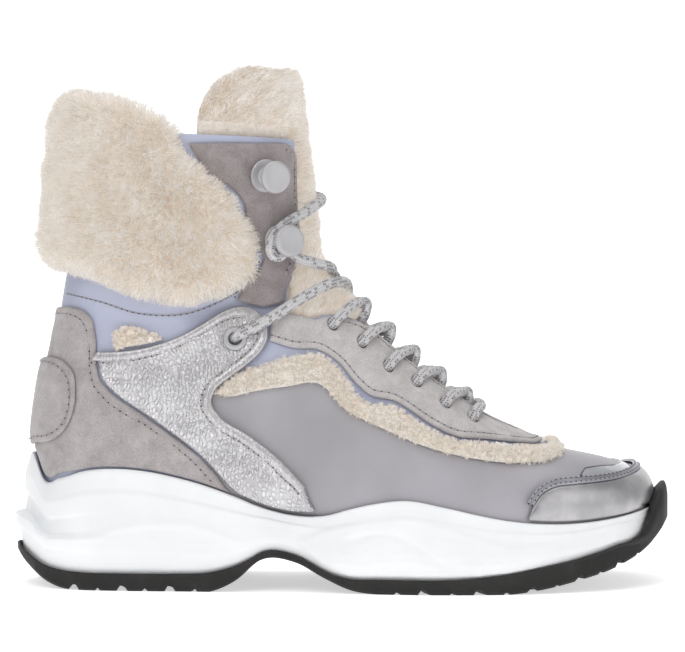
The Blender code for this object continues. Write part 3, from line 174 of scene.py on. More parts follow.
# The midsole's side from the split line up to the rim: how far it stands off the upper, in
# shares of FLARE, on the long sides and round the heel.
SIDE = table(
    "up side heel",
    (0.00, 0.78, 0.82),
    (0.07, 0.92, 0.88),
    (0.21, 0.99, 0.98),
    (0.24, 1.00, 1.20),
    (0.35, 0.96, 1.22),
    (0.40, 0.92, 0.70),
    (0.56, 0.78, 0.58),
    (0.61, 0.73, 0.74),
    (0.77, 0.62, 0.72),
    (0.81, 0.49, 0.66),
    (1.00, 0.40, 0.34),
)


def height(curve, x):
    """One of the sole's side curves, as a height above the floor at x."""
    along = x / SHOE_LENGTH + 0.5
    share = smooth(SOLE["along"], SOLE[curve], along)
    if curve == "split":
        bed, tread = (smooth(SOLE["along"], SOLE[name], along) for name in ("bed", "tread"))
        share = np.minimum(share, bed - CUP_FLOOR / SOLE_HEIGHT)
        share = np.maximum(share, tread + LEAST_TREAD / SOLE_HEIGHT)
    return SOLE_HEIGHT * np.maximum(share, 0)


def side_point(along, up):
    """A point of the side view: a share of the length, and of the way from footbed to collar."""
    x = (np.asarray(along, float) - 0.5) * SHOE_LENGTH
    bed = height("bed", x)
    return x, bed + np.asarray(up, float) * (COLLAR_HEIGHT - bed)


def section(name, row):
    return smooth(LAST_ROWS, LAST[name], row)


def surface_point(row, turn):
    """Points of the upper's outside, as an array with x, y, z last."""
    row, turn = np.broadcast_arrays(np.asarray(row, float), np.asarray(turn, float))
    top_x, top_z = side_point(section("top_along", row), section("top_up", row))
    low_x, low_z = side_point(section("low_along", row), section("low_up", row))
    half = 0.5 * (
        section("ball", row) * BALL_WIDTH
        + section("heel", row) * HEEL_WIDTH
        + section("collar", row) * COLLAR_WIDTH
    )
    mid = section("mid", row)
    upper_half = np.cos(turn) >= 0
    power = 2 / np.where(upper_half, section("n_top", row), section("n_low", row))
    reach = np.abs(np.cos(turn)) ** power
    share = np.where(upper_half, mid + (1 - mid) * reach, mid * (1 - reach))
    x = low_x + (top_x - low_x) * share
    z = low_z + (top_z - low_z) * share
    inward = smooth(SWING["along"], SWING["inward"], x / SHOE_LENGTH + 0.5) * BALL_WIDTH
    y = inward - np.sign(np.sin(turn)) * half * np.abs(np.sin(turn)) ** power
    return np.stack([x, y, z], axis=-1)


def surface_normal(row, turn):
    row, turn = np.broadcast_arrays(np.asarray(row, float), np.asarray(turn, float))
    last = LAST_ROWS[-1]
    row_step, turn_step = 0.05, 0.03
    before, after = np.clip(row - row_step, 0, last), np.clip(row + row_step, 0, last)
    along = surface_point(after, turn) - surface_point(before, turn)
    around = surface_point(row, turn + turn_step) - surface_point(row, turn - turn_step)
    normal = np.cross(along, around)
    return normal / (np.linalg.norm(normal, axis=-1, keepdims=True) + 1e-12)


def surface(row, turn, lift=0.0):
    """The upper's outside moved out by lift, along its normal."""
    lift = np.asarray(lift, float)[..., None]
    return surface_point(row, turn) + surface_normal(row, turn) * lift


def footprint(level, lift):
    """The upper's outline in plan at a height level(x), as a radius for each angle round it."""
    rows, turns = np.meshgrid(
        np.linspace(0, 18.5, 240), np.linspace(0, math.pi, 150), indexing="ij"
    )
    angles, radii = [], []
    for side in (1, -1):
        at = surface(rows, turns * side, np.full(rows.shape, lift))
        over = at[..., 2] - level(at[..., 0])
        for i in range(len(rows)):
            below = np.nonzero((over[i, :-1] > 0) & (over[i, 1:] <= 0))[0]
            if len(below):
                j = below[-1]
                share = over[i, j] / (over[i, j] - over[i, j + 1])
                x, y, _ = at[i, j] + share * (at[i, j + 1] - at[i, j])
                u, v = x / SHOE_LENGTH, y / BALL_WIDTH
                angles.append(math.atan2(v, u))
                radii.append(math.hypot(u, v))
    order = np.argsort(angles)
    angles, radii = np.array(angles)[order], np.array(radii)[order]
    angles = np.concatenate([angles - 2 * math.pi, angles, angles + 2 * math.pi])
    radii = np.tile(radii, 3)
    return lambda station: np.interp(station, angles, radii)


def stations(count):
    return np.linspace(0, 2 * math.pi, count, endpoint=False)


def plan_outline(trace, out, count):
    """Points of a traced outline, moved outwards by out, at each station."""
    station = stations(count)
    angle = np.arctan2(np.sin(station), np.cos(station))
    radius = trace(angle)
    x = np.cos(angle) * radius * SHOE_LENGTH
    y = np.sin(angle) * radius * BALL_WIDTH
    reach = max(1, count // CAD_STATIONS)
    step_x = np.roll(x, -reach) - np.roll(x, reach)
    step_y = np.roll(y, -reach) - np.roll(y, reach)
    size = np.hypot(step_x, step_y)
    return x + step_y / size * out, y - step_x / size * out


def toe_share(station):
    """1 across the front of the toe, 0 along the sides."""
    return 1 - ease(0.14, 0.36, np.abs(np.sin(station / 2)))


def heel_share(station):
    """1 across the back of the heel, 0 along the sides."""
    return 1 - ease(0.20, 0.40, np.abs(np.cos(station / 2)))


def side_out(station, up):
    """How far the midsole stands off the upper at a share up of its side."""
    toe, heel = toe_share(station), heel_share(station)
    side = np.interp(up, SIDE["up"], SIDE["side"]) * FLARE
    back = np.interp(up, SIDE["up"], SIDE["heel"]) * FLARE
    return (side * (1 - heel) + back * heel) * (1 - toe) + TOE_RIM_WALL * toe


def foam_ring(trace, up, count, pull=0.0):
    x, y = plan_outline(trace, side_out(stations(count), up) - pull, count)
    low, high = height("split", x), height("rim", x)
    return np.stack([x, y, low + (high - low) * up], axis=-1)


def rim_level(x):
    return height("rim", x)


TRACE = footprint(rim_level, 0.0)
COARSE = np.concatenate([foam_ring(TRACE, up, CAD_STATIONS) for up in SIDE["up"]])
SHIFT = np.array([*(np.array(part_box("midsole")[0])[:2] - COARSE.min(0)[:2]), 0.0])


# Shapes moulded into the foam's side, in shares of the length and of SOLE_HEIGHT: the swept
# wedge's upper edge and lower edge, the swoosh inside it, and the heel's long arc.
WEDGE_TOP = table(
    "along up",
    (0.430, 0.430),
    (0.458, 0.490),
    (0.496, 0.560),
    (0.540, 0.617),
    (0.582, 0.632),
    (0.620, 0.615),
    (0.655, 0.560),
    (0.690, 0.490),
    (0.745, 0.405),
)
WEDGE_LOW = table("along up", (0.430, 0.430), (0.466, 0.245), (0.510, 0.140))
SWOOSH = table(
    "along up",
    (0.505, 0.430),
    (0.558, 0.488),
    (0.592, 0.440),
    (0.618, 0.350),
    (0.645, 0.240),
)
HEEL_ARC = table(
    "along up", (0.120, 0.440), (0.170, 0.520), (0.235, 0.560), (0.290, 0.520), (0.335, 0.430)
)
RIBS = table(
    "low_along low_up high_along high_up",
    (0.517, 0.222, 0.507, 0.330),
    (0.570, 0.150, 0.541, 0.354),
    (0.611, 0.125, 0.584, 0.344),
    (0.656, 0.130, 0.628, 0.335),
    (0.700, 0.140, 0.672, 0.330),
    (0.744, 0.165, 0.716, 0.330),
)
WEDGE_RISE = 0.0008
SWOOSH_DEPTH = 0.0009
RIB_RISE = 0.0006
RIB_WIDTH = 0.0009
ARC_RISE = 0.0006


def line_distance(x, z, along, up, samples=60):
    """Distance in the side view to a smooth line, and its height at each x."""
    line_x = (np.asarray(along) - 0.5) * SHOE_LENGTH
    line_z = np.asarray(up) * SOLE_HEIGHT
    if len(line_x) > 2:
        fine = np.linspace(line_x.min(), line_x.max(), samples)
        line_z = smooth(line_x, line_z, fine)
        line_x = fine
    nearest = np.full(x.shape, np.inf)
    for ax, az, bx, bz in zip(line_x[:-1], line_z[:-1], line_x[1:], line_z[1:]):
        run_x, run_z = bx - ax, bz - az
        size = max(run_x * run_x + run_z * run_z, 1e-12)
        t = np.clip(((x - ax) * run_x + (z - az) * run_z) / size, 0, 1)
        nearest = np.minimum(nearest, np.hypot(x - ax - t * run_x, z - az - t * run_z))
    return nearest


def foam_relief(x, z):
    """How far the moulded shapes stand off the foam's plain side."""
    along = x / SHOE_LENGTH + 0.5
    share = z / SOLE_HEIGHT
    top = smooth(WEDGE_TOP["along"], WEDGE_TOP["up"], along)
    low = smooth(WEDGE_LOW["along"], WEDGE_LOW["up"], along)
    inside = ease(-0.02, 0.03, top - share) * ease(-0.03, 0.03, share - low)
    inside *= ease(0.425, 0.44, along) * (1 - ease(0.76, 0.84, along))
    rise = WEDGE_RISE * inside
    swoosh = line_distance(x, z, SWOOSH["along"], SWOOSH["up"])
    rise = rise - SWOOSH_DEPTH * np.exp(-((swoosh / 0.0016) ** 2))
    arc = line_distance(x, z, HEEL_ARC["along"], HEEL_ARC["up"])
    rise = rise + ARC_RISE * np.exp(-((arc / 0.0020) ** 2))
    for k in range(len(RIBS["low_up"])):
        rib = line_distance(
            x,
            z,
            (RIBS["low_along"][k], RIBS["high_along"][k]),
            (RIBS["low_up"][k], RIBS["high_up"][k]),
        )
        rise = rise + RIB_RISE * np.exp(-((rib / RIB_WIDTH) ** 2))
    return rise


def tone(red, green, blue):
    """A colour as the eye reads it, 0 to 255, in the renderer's own linear scale."""
    share = np.array([red, green, blue]) / 255
    return tuple(np.where(share <= 0.04045, share / 12.92, ((share + 0.055) / 1.055) ** 2.4))


class Wire:
    """A socket of a finish, so that its maths reads as Python."""

    def __init__(self, finish, socket):
        self.finish, self.socket = finish, socket

    def maths(self, operation, *values):
        return self.finish.node("ShaderNodeMath", {"operation": operation}, dict(enumerate(values)))

    def __add__(self, other):
        return self.maths("ADD", self, other)

    def __sub__(self, other):
        return self.maths("SUBTRACT", self, other)

    def __rsub__(self, other):
        return self.maths("SUBTRACT", other, self)

    def __mul__(self, other):
        return self.maths("MULTIPLY", self, other)

    def __truediv__(self, other):
        return self.maths("DIVIDE", self, other)

    def __pow__(self, other):
        return self.maths("POWER", self, other)

    def __gt__(self, other):
        return self.maths("GREATER_THAN", self, other)

    def __lt__(self, other):
        return self.maths("LESS_THAN", self, other)

    __radd__, __rmul__ = __add__, __mul__

    def step(self, low, high):
        """0 below low, 1 above high, smooth between."""
        settings = {"interpolation_type": "SMOOTHSTEP"}
        values = {"Value": self, "From Min": low, "From Max": high}
        return self.finish.node("ShaderNodeMapRange", settings, values)


class Finish:
    """One procedural material. Lengths in it are metres of the shoe."""

    def __init__(self, name, **constants):
        self.material = bpy.data.materials.new(name)
        self.material.use_nodes = True
        self.tree = self.material.node_tree
        self.shader = self.tree.nodes["Principled BSDF"]
        self.place = self.node("ShaderNodeTexCoord", {}, {}, "Object")
        for key, value in constants.items():
            self.shader.inputs[self.plain(key)].default_value = value

    def plain(self, key):
        """The shader's own name for a socket."""
        return key.replace("_", " ").title().replace("Ior", "IOR")

    def node(self, kind, settings, values, output=0):
        """A node of this kind with its settings, and the values or links of its sockets."""
        made = self.tree.nodes.new(kind)
        for key, value in settings.items():
            if key == "stops":
                elements = made.color_ramp.elements
                for k, (at, shade) in enumerate(value):
                    stop = elements[k] if k < 2 else elements.new(at)
                    stop.position, stop.color = at, (*shade, 1)
            else:
                setattr(made, key, value)
        for key, value in values.items():
            self.put(made.inputs[key], value)
        return Wire(self, made.outputs[output])

    def put(self, socket, value):
        if isinstance(value, Wire):
            self.tree.links.new(value.socket, socket)
        elif socket.type == "RGBA":
            socket.default_value = (*value[:3], 1)
        else:
            socket.default_value = value

    def noise(self, size, detail=3.0, rough=0.5, warp=0.0, place=None):
        """Noise whose blotches are about size across."""
        values = {
            "Vector": place or self.place,
            "Scale": 1 / size,
            "Detail": detail,
            "Roughness": rough,
            "Distortion": warp,
        }
        return self.node("ShaderNodeTexNoise", {}, values, "Fac")

    def cells(self, size, feature="F1", place=None, output="Distance"):
        values = {"Vector": place or self.place, "Scale": 1 / size}
        return self.node("ShaderNodeTexVoronoi", {"feature": feature}, values, output)

    def stretched(self, x, y, z):
        """The place with its three directions scaled."""
        values = {0: self.place, 1: (x, y, z)}
        return self.node("ShaderNodeVectorMath", {"operation": "MULTIPLY"}, values)

    def attribute(self, name):
        return self.node("ShaderNodeAttribute", {"attribute_name": name}, {}, "Fac")

    def mix(self, factor, first, second):
        settings = {"data_type": "RGBA"}
        return self.node("ShaderNodeMix", settings, {0: factor, 6: first, 7: second}, 2)

    def bump(self, relief, depth, under=None):
        """Relief, 0 to 1, standing this deep in metres."""
        values = {"Strength": 1.0, "Distance": depth, "Height": relief}
        if under:
            values["Normal"] = under
        return self.node("ShaderNodeBump", {}, values)

    def set(self, **sockets):
        for key, value in sockets.items():
            self.put(self.shader.inputs[self.plain(key)], value)
        return self

    def lit_through(self, colour, share):
        """Let this share of the light pass through, as thin fibres do."""
        glow = self.node("ShaderNodeBsdfTranslucent", {}, {"Color": colour}, "BSDF")
        body = Wire(self, self.shader.outputs["BSDF"])
        both = self.node("ShaderNodeMixShader", {}, {0: share, 1: body, 2: glow}, "Shader")
        output = self.tree.nodes["Material Output"]
        self.put(output.inputs["Surface"], both)
        return self


def foam_finish():
    """White foam with a faint mould texture and the odd scuff."""
    made = Finish("white foam", roughness=0.5, specular_ior_level=0.35)
    cloud = made.noise(0.030, 4)
    stipple = made.noise(0.0005, 2)
    scuff = made.noise(0.004, 6, 0.7, 1.0).step(0.62, 0.74)
    colour = made.mix(cloud.step(0.3, 0.7), tone(238, 240, 242), tone(245, 246, 248))
    colour = made.mix(scuff * 0.18, colour, tone(216, 214, 212))
    return made.set(
        base_color=colour,
        roughness=0.46 + scuff * 0.14,
        normal=made.bump(stipple, 0.00004),
    ).material


def mesh_of(name, points, faces, merge=2e-6):
    """A mesh with its doubled points joined and its faces turned out."""
    mesh = bpy.data.meshes.new(name)
    mesh.from_pydata([tuple(p) for p in points], [], [tuple(f) for f in faces])
    work = bmesh.new()
    work.from_mesh(mesh)
    bmesh.ops.remove_doubles(work, verts=work.verts, dist=merge)
    bmesh.ops.dissolve_degenerate(work, edges=work.edges, dist=1e-6)
    bmesh.ops.recalc_face_normals(work, faces=work.faces)
    work.to_mesh(mesh)
    work.free()
    return mesh


def piece(name, mesh, finishes, stands_for=(), smooth_angle=50):
    """Places a mesh on the shoe with its finishes, and hides the CAD parts it stands for."""
    obj = bpy.data.objects.new(name, mesh)
    bpy.context.scene.collection.objects.link(obj)
    for finish in finishes if isinstance(finishes, (list, tuple)) else [finishes]:
        mesh.materials.append(finish)
    mesh.shade_smooth()
    if smooth_angle:
        mesh.set_sharp_from_angle(angle=math.radians(smooth_angle))
    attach(obj, "root")
    if stands_for:
        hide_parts(*stands_for)
    return obj


def grid_faces(rows, columns, closed=False, keep=None):
    """Quads of a grid, by rows, with only the cells that keep, if given, holds true."""
    i, j = np.meshgrid(
        np.arange(rows - 1), np.arange(columns if closed else columns - 1), indexing="ij"
    )
    k = (j + 1) % columns
    quads = np.stack(
        [i * columns + j, i * columns + k, (i + 1) * columns + k, (i + 1) * columns + j], -1
    )
    if keep is not None:
        return quads[keep].tolist()
    return quads.reshape(-1, 4).tolist()


def ladder(count, first):
    """Faces across a ring, from each side to the other, for a ring that starts at the toe."""
    faces = []
    for i in range(count // 2):
        corners = dict.fromkeys((i, i + 1, (count - i - 1) % count, (count - i) % count))
        faces.append([first + k for k in corners])
    return faces


def build_midsole():
    levels = np.concatenate([np.linspace(0, 0.97, 56)])
    rings = [foam_ring(TRACE, up, FOAM_STATIONS) for up in levels]
    relief = [foam_relief(ring[:, 0], ring[:, 2]) for ring in rings]
    station = stations(FOAM_STATIONS)
    flank = 1 - np.maximum(toe_share(station), heel_share(station) * 0.6)
    out = []
    for up, rise in zip(levels, relief):
        rise = rise * flank * ease(0.02, 0.10, up)
        out.append(foam_ring(TRACE, up, FOAM_STATIONS, -rise))
    rings = out
    rings.append(foam_ring(TRACE, 0.985, FOAM_STATIONS, RIM_ROUND * 0.2))
    rings.append(foam_ring(TRACE, 1.0, FOAM_STATIONS, RIM_ROUND))
    for share in (1.0, 0.45, 0.0):
        level = lambda x, k=share: height("bed", x) + k * (height("rim", x) - height("bed", x))
        x, y = plan_outline(footprint(level, CUP_GAP), 0.0, FOAM_STATIONS)
        rings.append(np.stack([x, y, level(x)], axis=-1))
    faces = grid_faces(len(rings), FOAM_STATIONS, closed=True)
    faces += [f[::-1] for f in ladder(FOAM_STATIONS, 0)]
    faces += ladder(FOAM_STATIONS, (len(rings) - 1) * FOAM_STATIONS)
    mesh = mesh_of("foam cup", np.concatenate(rings) + SHIFT, faces)
    piece("midsole_foam", mesh, foam_finish(), ["midsole"], 40)


build_midsole()


# Outsole. A thin shell of black-brown rubber glued under the foam: a lip round the edge, a bumper
# lapped up the toe, and a tread of lugs with cross grooves, left open under the arch.

RUBBER_STATIONS = 720
BUMPER_WALL = 0.0054
BUMPER_HEIGHT = 0.0148
TREAD_LIP = 0.0010
TREAD_ROUND = 0.0011
FIT_GAP = 0.0004
SIDE_CLEARANCE = 0.0011
GROOVE_WIDTH = 0.0034
GROOVE_DEPTH = 0.0022

# Grooves across the tread: where each lies along the sole, how far it leans, and its width as
# a share of GROOVE_WIDTH.
GROOVES = table(
    "along lean wide",
    (0.095, 0.10, 1.0),
    (0.133, 0.11, 0.4),
    (0.170, 0.12, 1.0),
    (0.208, 0.13, 0.4),
    (0.245, 0.14, 1.0),
    (0.283, 0.14, 0.4),
    (0.545, -0.08, 0.4),
    (0.580, -0.10, 1.0),
    (0.618, -0.12, 0.4),
    (0.655, -0.14, 1.0),
    (0.693, -0.16, 0.4),
    (0.730, -0.18, 1.0),
    (0.768, -0.19, 0.4),
    (0.805, -0.20, 1.0),
    (0.843, -0.18, 0.4),
    (0.880, -0.16, 1.0),
    (0.918, -0.14, 0.4),
)


def rubber_finish():
    """Matt black-brown rubber, dusty where it has been handled."""
    made = Finish("black rubber", specular_ior_level=0.4)
    cloud = made.noise(0.012, 5, 0.6)
    grit = made.noise(0.0004, 2)
    colour = made.mix(cloud.step(0.35, 0.75), tone(24, 23, 22), tone(42, 40, 39))
    return made.set(
        base_color=colour,
        roughness=0.5 + cloud * 0.25,
        normal=made.bump(grit, 0.00006),
    ).material


def groove(x, y):
    """1 in the middle of a groove, 0 on the lugs."""
    depth = np.zeros(np.shape(x))
    for along, lean, wide in zip(GROOVES["along"], GROOVES["lean"], GROOVES["wide"]):
        middle = (along - 0.5) * SHOE_LENGTH + 0.10 * np.abs(y) + lean * y
        half = 0.5 * GROOVE_WIDTH * wide
        here = 1 - ease(half - 0.0003, half + 0.0003, np.abs(x - middle))
        depth = np.maximum(depth, here * (1.0 if wide > 0.5 else 0.55))
    return depth


def build_outsole():
    count = RUBBER_STATIONS
    station = stations(count)
    bumper = 1 - ease(0.08, 0.34, np.abs(np.sin(station / 2)))
    lap = TREAD_LIP + BUMPER_HEIGHT * bumper
    wall = TREAD_LIP + (BUMPER_WALL - TREAD_LIP) * bumper
    gap = FIT_GAP + SIDE_CLEARANCE * (1 - bumper)

    def ring(share, extra, drop=0.0, curve="split"):
        x, y = plan_outline(TRACE, 0.0, count)
        side = height("rim", x) - height("split", x)
        out = side_out(station, lap * share / side) + gap + extra
        x, y = plan_outline(TRACE, out, count)
        z = height(curve, x) + lap * share - drop
        return np.stack([x, y, z], axis=-1)

    foot = ring(0.0, wall - TREAD_ROUND, 0.0, "tread")
    knee = ring(0.0, wall, -TREAD_ROUND, "tread")
    room = height("split", foot[:, 0]) - height("tread", foot[:, 0]) - 0.0008
    notch = np.minimum(groove(foot[:, 0], foot[:, 1]) * GROOVE_DEPTH, room)
    middle_y = 0.5 * (foot[:, 1] + np.roll(foot[::-1, 1], 1))
    shell = []
    for share in (0.0, 0.15, 0.3, 0.45, 0.6, 0.72, 0.84, 0.93):
        x, y = foot[:, 0].copy(), middle_y + (foot[:, 1] - middle_y) * share
        room = height("split", x) - height("tread", x) - 0.0008
        z = height("tread", x) + np.minimum(groove(x, y) * GROOVE_DEPTH, room)
        shell.append(np.stack([x, y, z], axis=-1))
    foot[:, 2] += notch
    knee[:, 2] = np.maximum(knee[:, 2], height("tread", knee[:, 0]) + notch + 0.0002)
    shell += [foot, knee]
    for share, extra in ((0.0, 1.0), (0.25, 1.0), (0.5, 1.0), (0.75, 0.92), (0.9, 0.8), (1.0, 0.5)):
        shell.append(ring(share, wall * extra, FIT_GAP * (1 - share)))
    shell.append(ring(1.0, 0.0))
    shell.append(ring(0.5, 0.0))
    shell.append(ring(0.0, 0.0, 3 * FIT_GAP))
    faces = grid_faces(len(shell), count, closed=True)
    faces += ladder(count, (len(shell) - 1) * count)
    mesh = mesh_of("rubber shell", np.concatenate(shell) + SHIFT, faces)
    piece("outsole_rubber", mesh, rubber_finish(), ["outsole"], 35)


build_outsole()


# Insole. A footbed of foam under a short cream fleece, laid loose in the cup.


def lining_finish():
    """Short cream fleece, matted where the foot rests."""
    made = Finish("cream lining", roughness=0.95, sheen_weight=0.4)
    tuft = made.noise(0.0016, 4, 0.6)
    colour = made.mix(tuft.step(0.3, 0.7), tone(214, 200, 184), tone(236, 228, 216))
    return made.set(base_color=colour, normal=made.bump(tuft, 0.0006)).material


LINING = lining_finish()
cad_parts["insole"].data.materials.clear()
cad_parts["insole"].data.materials.append(LINING)


# Upper shell. Satin leather over a cream lining, grey on the quarter and the vamp, lavender at
# the ankle and along the throat, sewn to the lasting board and pulled down into the cup.

UPPER_WALL = 0.0022
COLLAR_ROW = 24.0
THROAT_ROW = 8.6
SHELL_ROWS = 150
SHELL_COLUMNS = 160

# The open throat: half its width as degrees of turn, at each row.
THROAT = table(
    "row half_angle",
    (8.6, 5.0),
    (9.0, 10.5),
    (9.7, 14.0),
    (11.0, 16.0),
    (12.3, 19.0),
    (13.1, 29.0),
    (14.0, 44.0),
    (14.9, 38.0),
    (16.0, 26.0),
    (17.5, 18.0),
    (20.0, 14.5),
    (24.0, 14.5),
)

# Edges of the fleece trim round the vamp, in shares of the side view.
TRIM_LOW = (
    (0.308, 0.322),
    (0.329, 0.317),
    (0.358, 0.331),
    (0.409, 0.354),
    (0.465, 0.371),
    (0.483, 0.346),
    (0.500, 0.315),
    (0.537, 0.288),
    (0.580, 0.262),
    (0.628, 0.234),
    (0.700, 0.205),
    (0.772, 0.193),
    (0.815, 0.198),
    (0.834, 0.212),
)
TRIM_TOP = (
    (0.338, 0.376),
    (0.391, 0.411),
    (0.428, 0.437),
    (0.465, 0.442),
    (0.489, 0.412),
    (0.512, 0.366),
    (0.533, 0.330),
    (0.574, 0.328),
    (0.592, 0.312),
    (0.624, 0.280),
    (0.661, 0.250),
    (0.716, 0.238),
    (0.770, 0.225),
    (0.796, 0.220),
    (0.813, 0.2235),
)

# Soft creases of the ankle leather as lines of the side view, with their depth and width.
CREASES = (
    (((0.245, 0.560), (0.275, 0.535), (0.305, 0.540), (0.335, 0.560)), 0.0011, 0.0030),
    (((0.190, 0.515), (0.225, 0.500), (0.258, 0.508)), 0.0008, 0.0026),
    (((0.140, 0.540), (0.160, 0.505), (0.176, 0.500)), 0.0008, 0.0024),
    (((0.205, 0.545), (0.240, 0.530), (0.262, 0.545)), 0.0006, 0.0022),
    (((0.385, 0.600), (0.402, 0.570), (0.425, 0.548)), 0.0007, 0.0026),
)


def throat_turn(row):
    return np.radians(smooth(THROAT["row"], THROAT["half_angle"], np.asarray(row, float)))


def leather_finish(name, dark, light, grain=0.00003):
    """Satin leather: a fine grain, long soft folds, and a thin coat of gloss."""
    made = Finish(name, coat_roughness=0.3, specular_ior_level=0.45)
    pores = made.cells(0.00055)
    fold = made.noise(0.014, 3, 0.5, 0.4)
    cloud = made.noise(0.05, 3)
    colour = made.mix(cloud.step(0.3, 0.7), dark, light)
    normal = made.bump(fold, 0.0005)
    normal = made.bump(pores, grain, normal)
    return made.set(
        base_color=colour,
        roughness=0.40 + cloud * 0.10,
        coat_weight=0.12,
        normal=normal,
    ).material


LAVENDER = leather_finish("lavender leather", tone(160, 164, 186), tone(184, 189, 210))
GREY = leather_finish("grey leather", tone(160, 157, 162), tone(176, 174, 180))


def view_share(points):
    """The side view's shares of points, undoing side_point."""
    x = points[..., 0]
    bed = height("bed", x)
    return x / SHOE_LENGTH + 0.5, (points[..., 2] - bed) / (COLLAR_HEIGHT - bed)


def crease_drop(points):
    """How far the creases sink the ankle leather."""
    x, z = points[..., 0], points[..., 2]
    drop = np.zeros(x.shape)
    for line, depth, width in CREASES:
        along, up = np.array(line).T
        line_x, line_z = side_point(along, up)
        share = np.linspace(0, len(along) - 1, 24)
        knots = np.arange(len(along), dtype=float)
        line_x, line_z = smooth(knots, line_x, share), smooth(knots, line_z, share)
        ends = np.sin(np.linspace(0, math.pi, 24)) ** 0.5
        for k in range(24):
            reach = np.hypot(x - line_x[k], z - line_z[k])
            drop = np.maximum(drop, depth * ends[k] * np.exp(-((reach / width) ** 2)))
    return drop


def ripple(points, pitch, seed, waves=8):
    """Soft lumps about a pitch apart, from about -1 to 1."""
    random = np.random.default_rng(seed)
    total = 0.0
    for _ in range(waves):
        way = random.normal(size=3)
        way *= 2 * math.pi / pitch * random.uniform(0.7, 1.4) / np.linalg.norm(way)
        total = total + np.sin(points @ way + random.uniform(0, 2 * math.pi))
    return total / math.sqrt(waves)


def build_shell():
    rows = np.linspace(0, COLLAR_ROW, SHELL_ROWS)
    half = SHELL_COLUMNS // 2
    edge = throat_turn(np.maximum(rows, THROAT_ROW + 0.9))
    edge = np.where(rows >= THROAT_ROW, throat_turn(rows), edge)[:, None]
    inside = 8
    near = edge * np.linspace(0, 1, inside + 1)[None, :-1]
    far = edge + (math.pi - edge) * np.linspace(0, 1, half - inside + 1)[None, :]
    side = np.concatenate([near, far], axis=1)
    turns = np.concatenate([side, -side[:, -2:0:-1]], axis=1)
    columns = turns.shape[1]
    spread = np.repeat(rows[:, None], columns, axis=1)
    plain = surface_point(spread, turns)
    along, up = view_share(plain)
    drop = crease_drop(plain)
    outer = surface(spread, turns, -drop + 0.00015 * ripple(plain, 0.03, 5))
    inner = surface(spread, turns, np.full(spread.shape, -UPPER_WALL))
    i, j = np.meshgrid(np.arange(len(rows) - 1), np.arange(columns), indexing="ij")
    opened = (rows[i] >= THROAT_ROW) & ((j < inside) | (j >= columns - inside))
    low = plain[..., 2] < height("bed", plain[..., 0]) + 0.0005
    keep = ~opened & ~(low[i, j] & low[i + 1, j])
    faces = grid_faces(len(rows), columns, closed=True, keep=keep)
    centre_along = (np.array(TRIM_LOW)[:, 0][[0, -1]]).tolist()
    line_at = np.linspace(centre_along[0], 0.822, 80)
    low_up = smooth(*np.array(TRIM_LOW).T, line_at)
    top_up = smooth(*np.array(TRIM_TOP).T, line_at)
    border = np.interp(along, line_at, 0.5 * (low_up + top_up))
    grey = ((up < border) & (along > 0.300)) | (along > 0.826)
    count = plain.reshape(-1, 3).shape[0]
    edges = {}
    for face in faces:
        for a, b in zip(face, face[1:] + face[:1]):
            edges[a, b] = edges.get((a, b), 0) + 1
    rim = [(a, b) for a, b in edges if (b, a) not in edges]
    every = list(faces) + [[v + count for v in reversed(face)] for face in faces]
    every += [[b, a, a + count, b + count] for a, b in rim]
    points = np.concatenate([outer.reshape(-1, 3), inner.reshape(-1, 3)]) + SHIFT
    mesh = bpy.data.meshes.new("shell")
    mesh.from_pydata(points.tolist(), [], every)
    flat_grey = grey.reshape(-1)
    index = []
    for number, face in enumerate(every):
        if number < len(faces):
            index.append(1 if flat_grey[face[0]] else 0)
        else:
            index.append(2 if number < 2 * len(faces) else 0)
    mesh.polygons.foreach_set("material_index", index)
    mesh.update()
    piece("upper_shell", mesh, [LAVENDER, GREY, LINING], ["upper"], 60)


build_shell()


# Heel counter and patch. Grey suede cut round the back of the heel and sewn to the shell, with
# a smaller patch of the same suede sewn over it.

OVERLAY_WALL = 0.0013
OVERLAY_GAP = 0.0007
END_RIM_GAP = 0.0020
RIM_GAP = 0.0011
ROW_SCALE, TURN_SCALE = 0.010, 0.042
EDGE_STEP = 0.0014
LATTICE = 0.0019
BEVEL = 0.0009
STITCH_PITCH = 0.0031
STITCH_INSET = 0.0030
THREAD_RADIUS = 0.00030

COUNTER_TOP = ((0.063, 0.544), (0.080, 0.547), (0.098, 0.544), (0.114, 0.530), (0.123, 0.508))
COUNTER_FRONT = (
    (0.123, 0.508),
    (0.128, 0.456),
    (0.129, 0.395),
    (0.135, 0.351),
    (0.151, 0.318),
    (0.197, 0.260),
    (0.245, 0.201),
    (0.283, 0.153),
    (0.311, 0.106),
)
PATCH = (
    (0.040, 0.400),
    (0.060, 0.408),
    (0.080, 0.400),
    (0.096, 0.370),
    (0.100, 0.320),
    (0.096, 0.265),
    (0.083, 0.215),
    (0.062, 0.185),
    (0.036, 0.176),
)


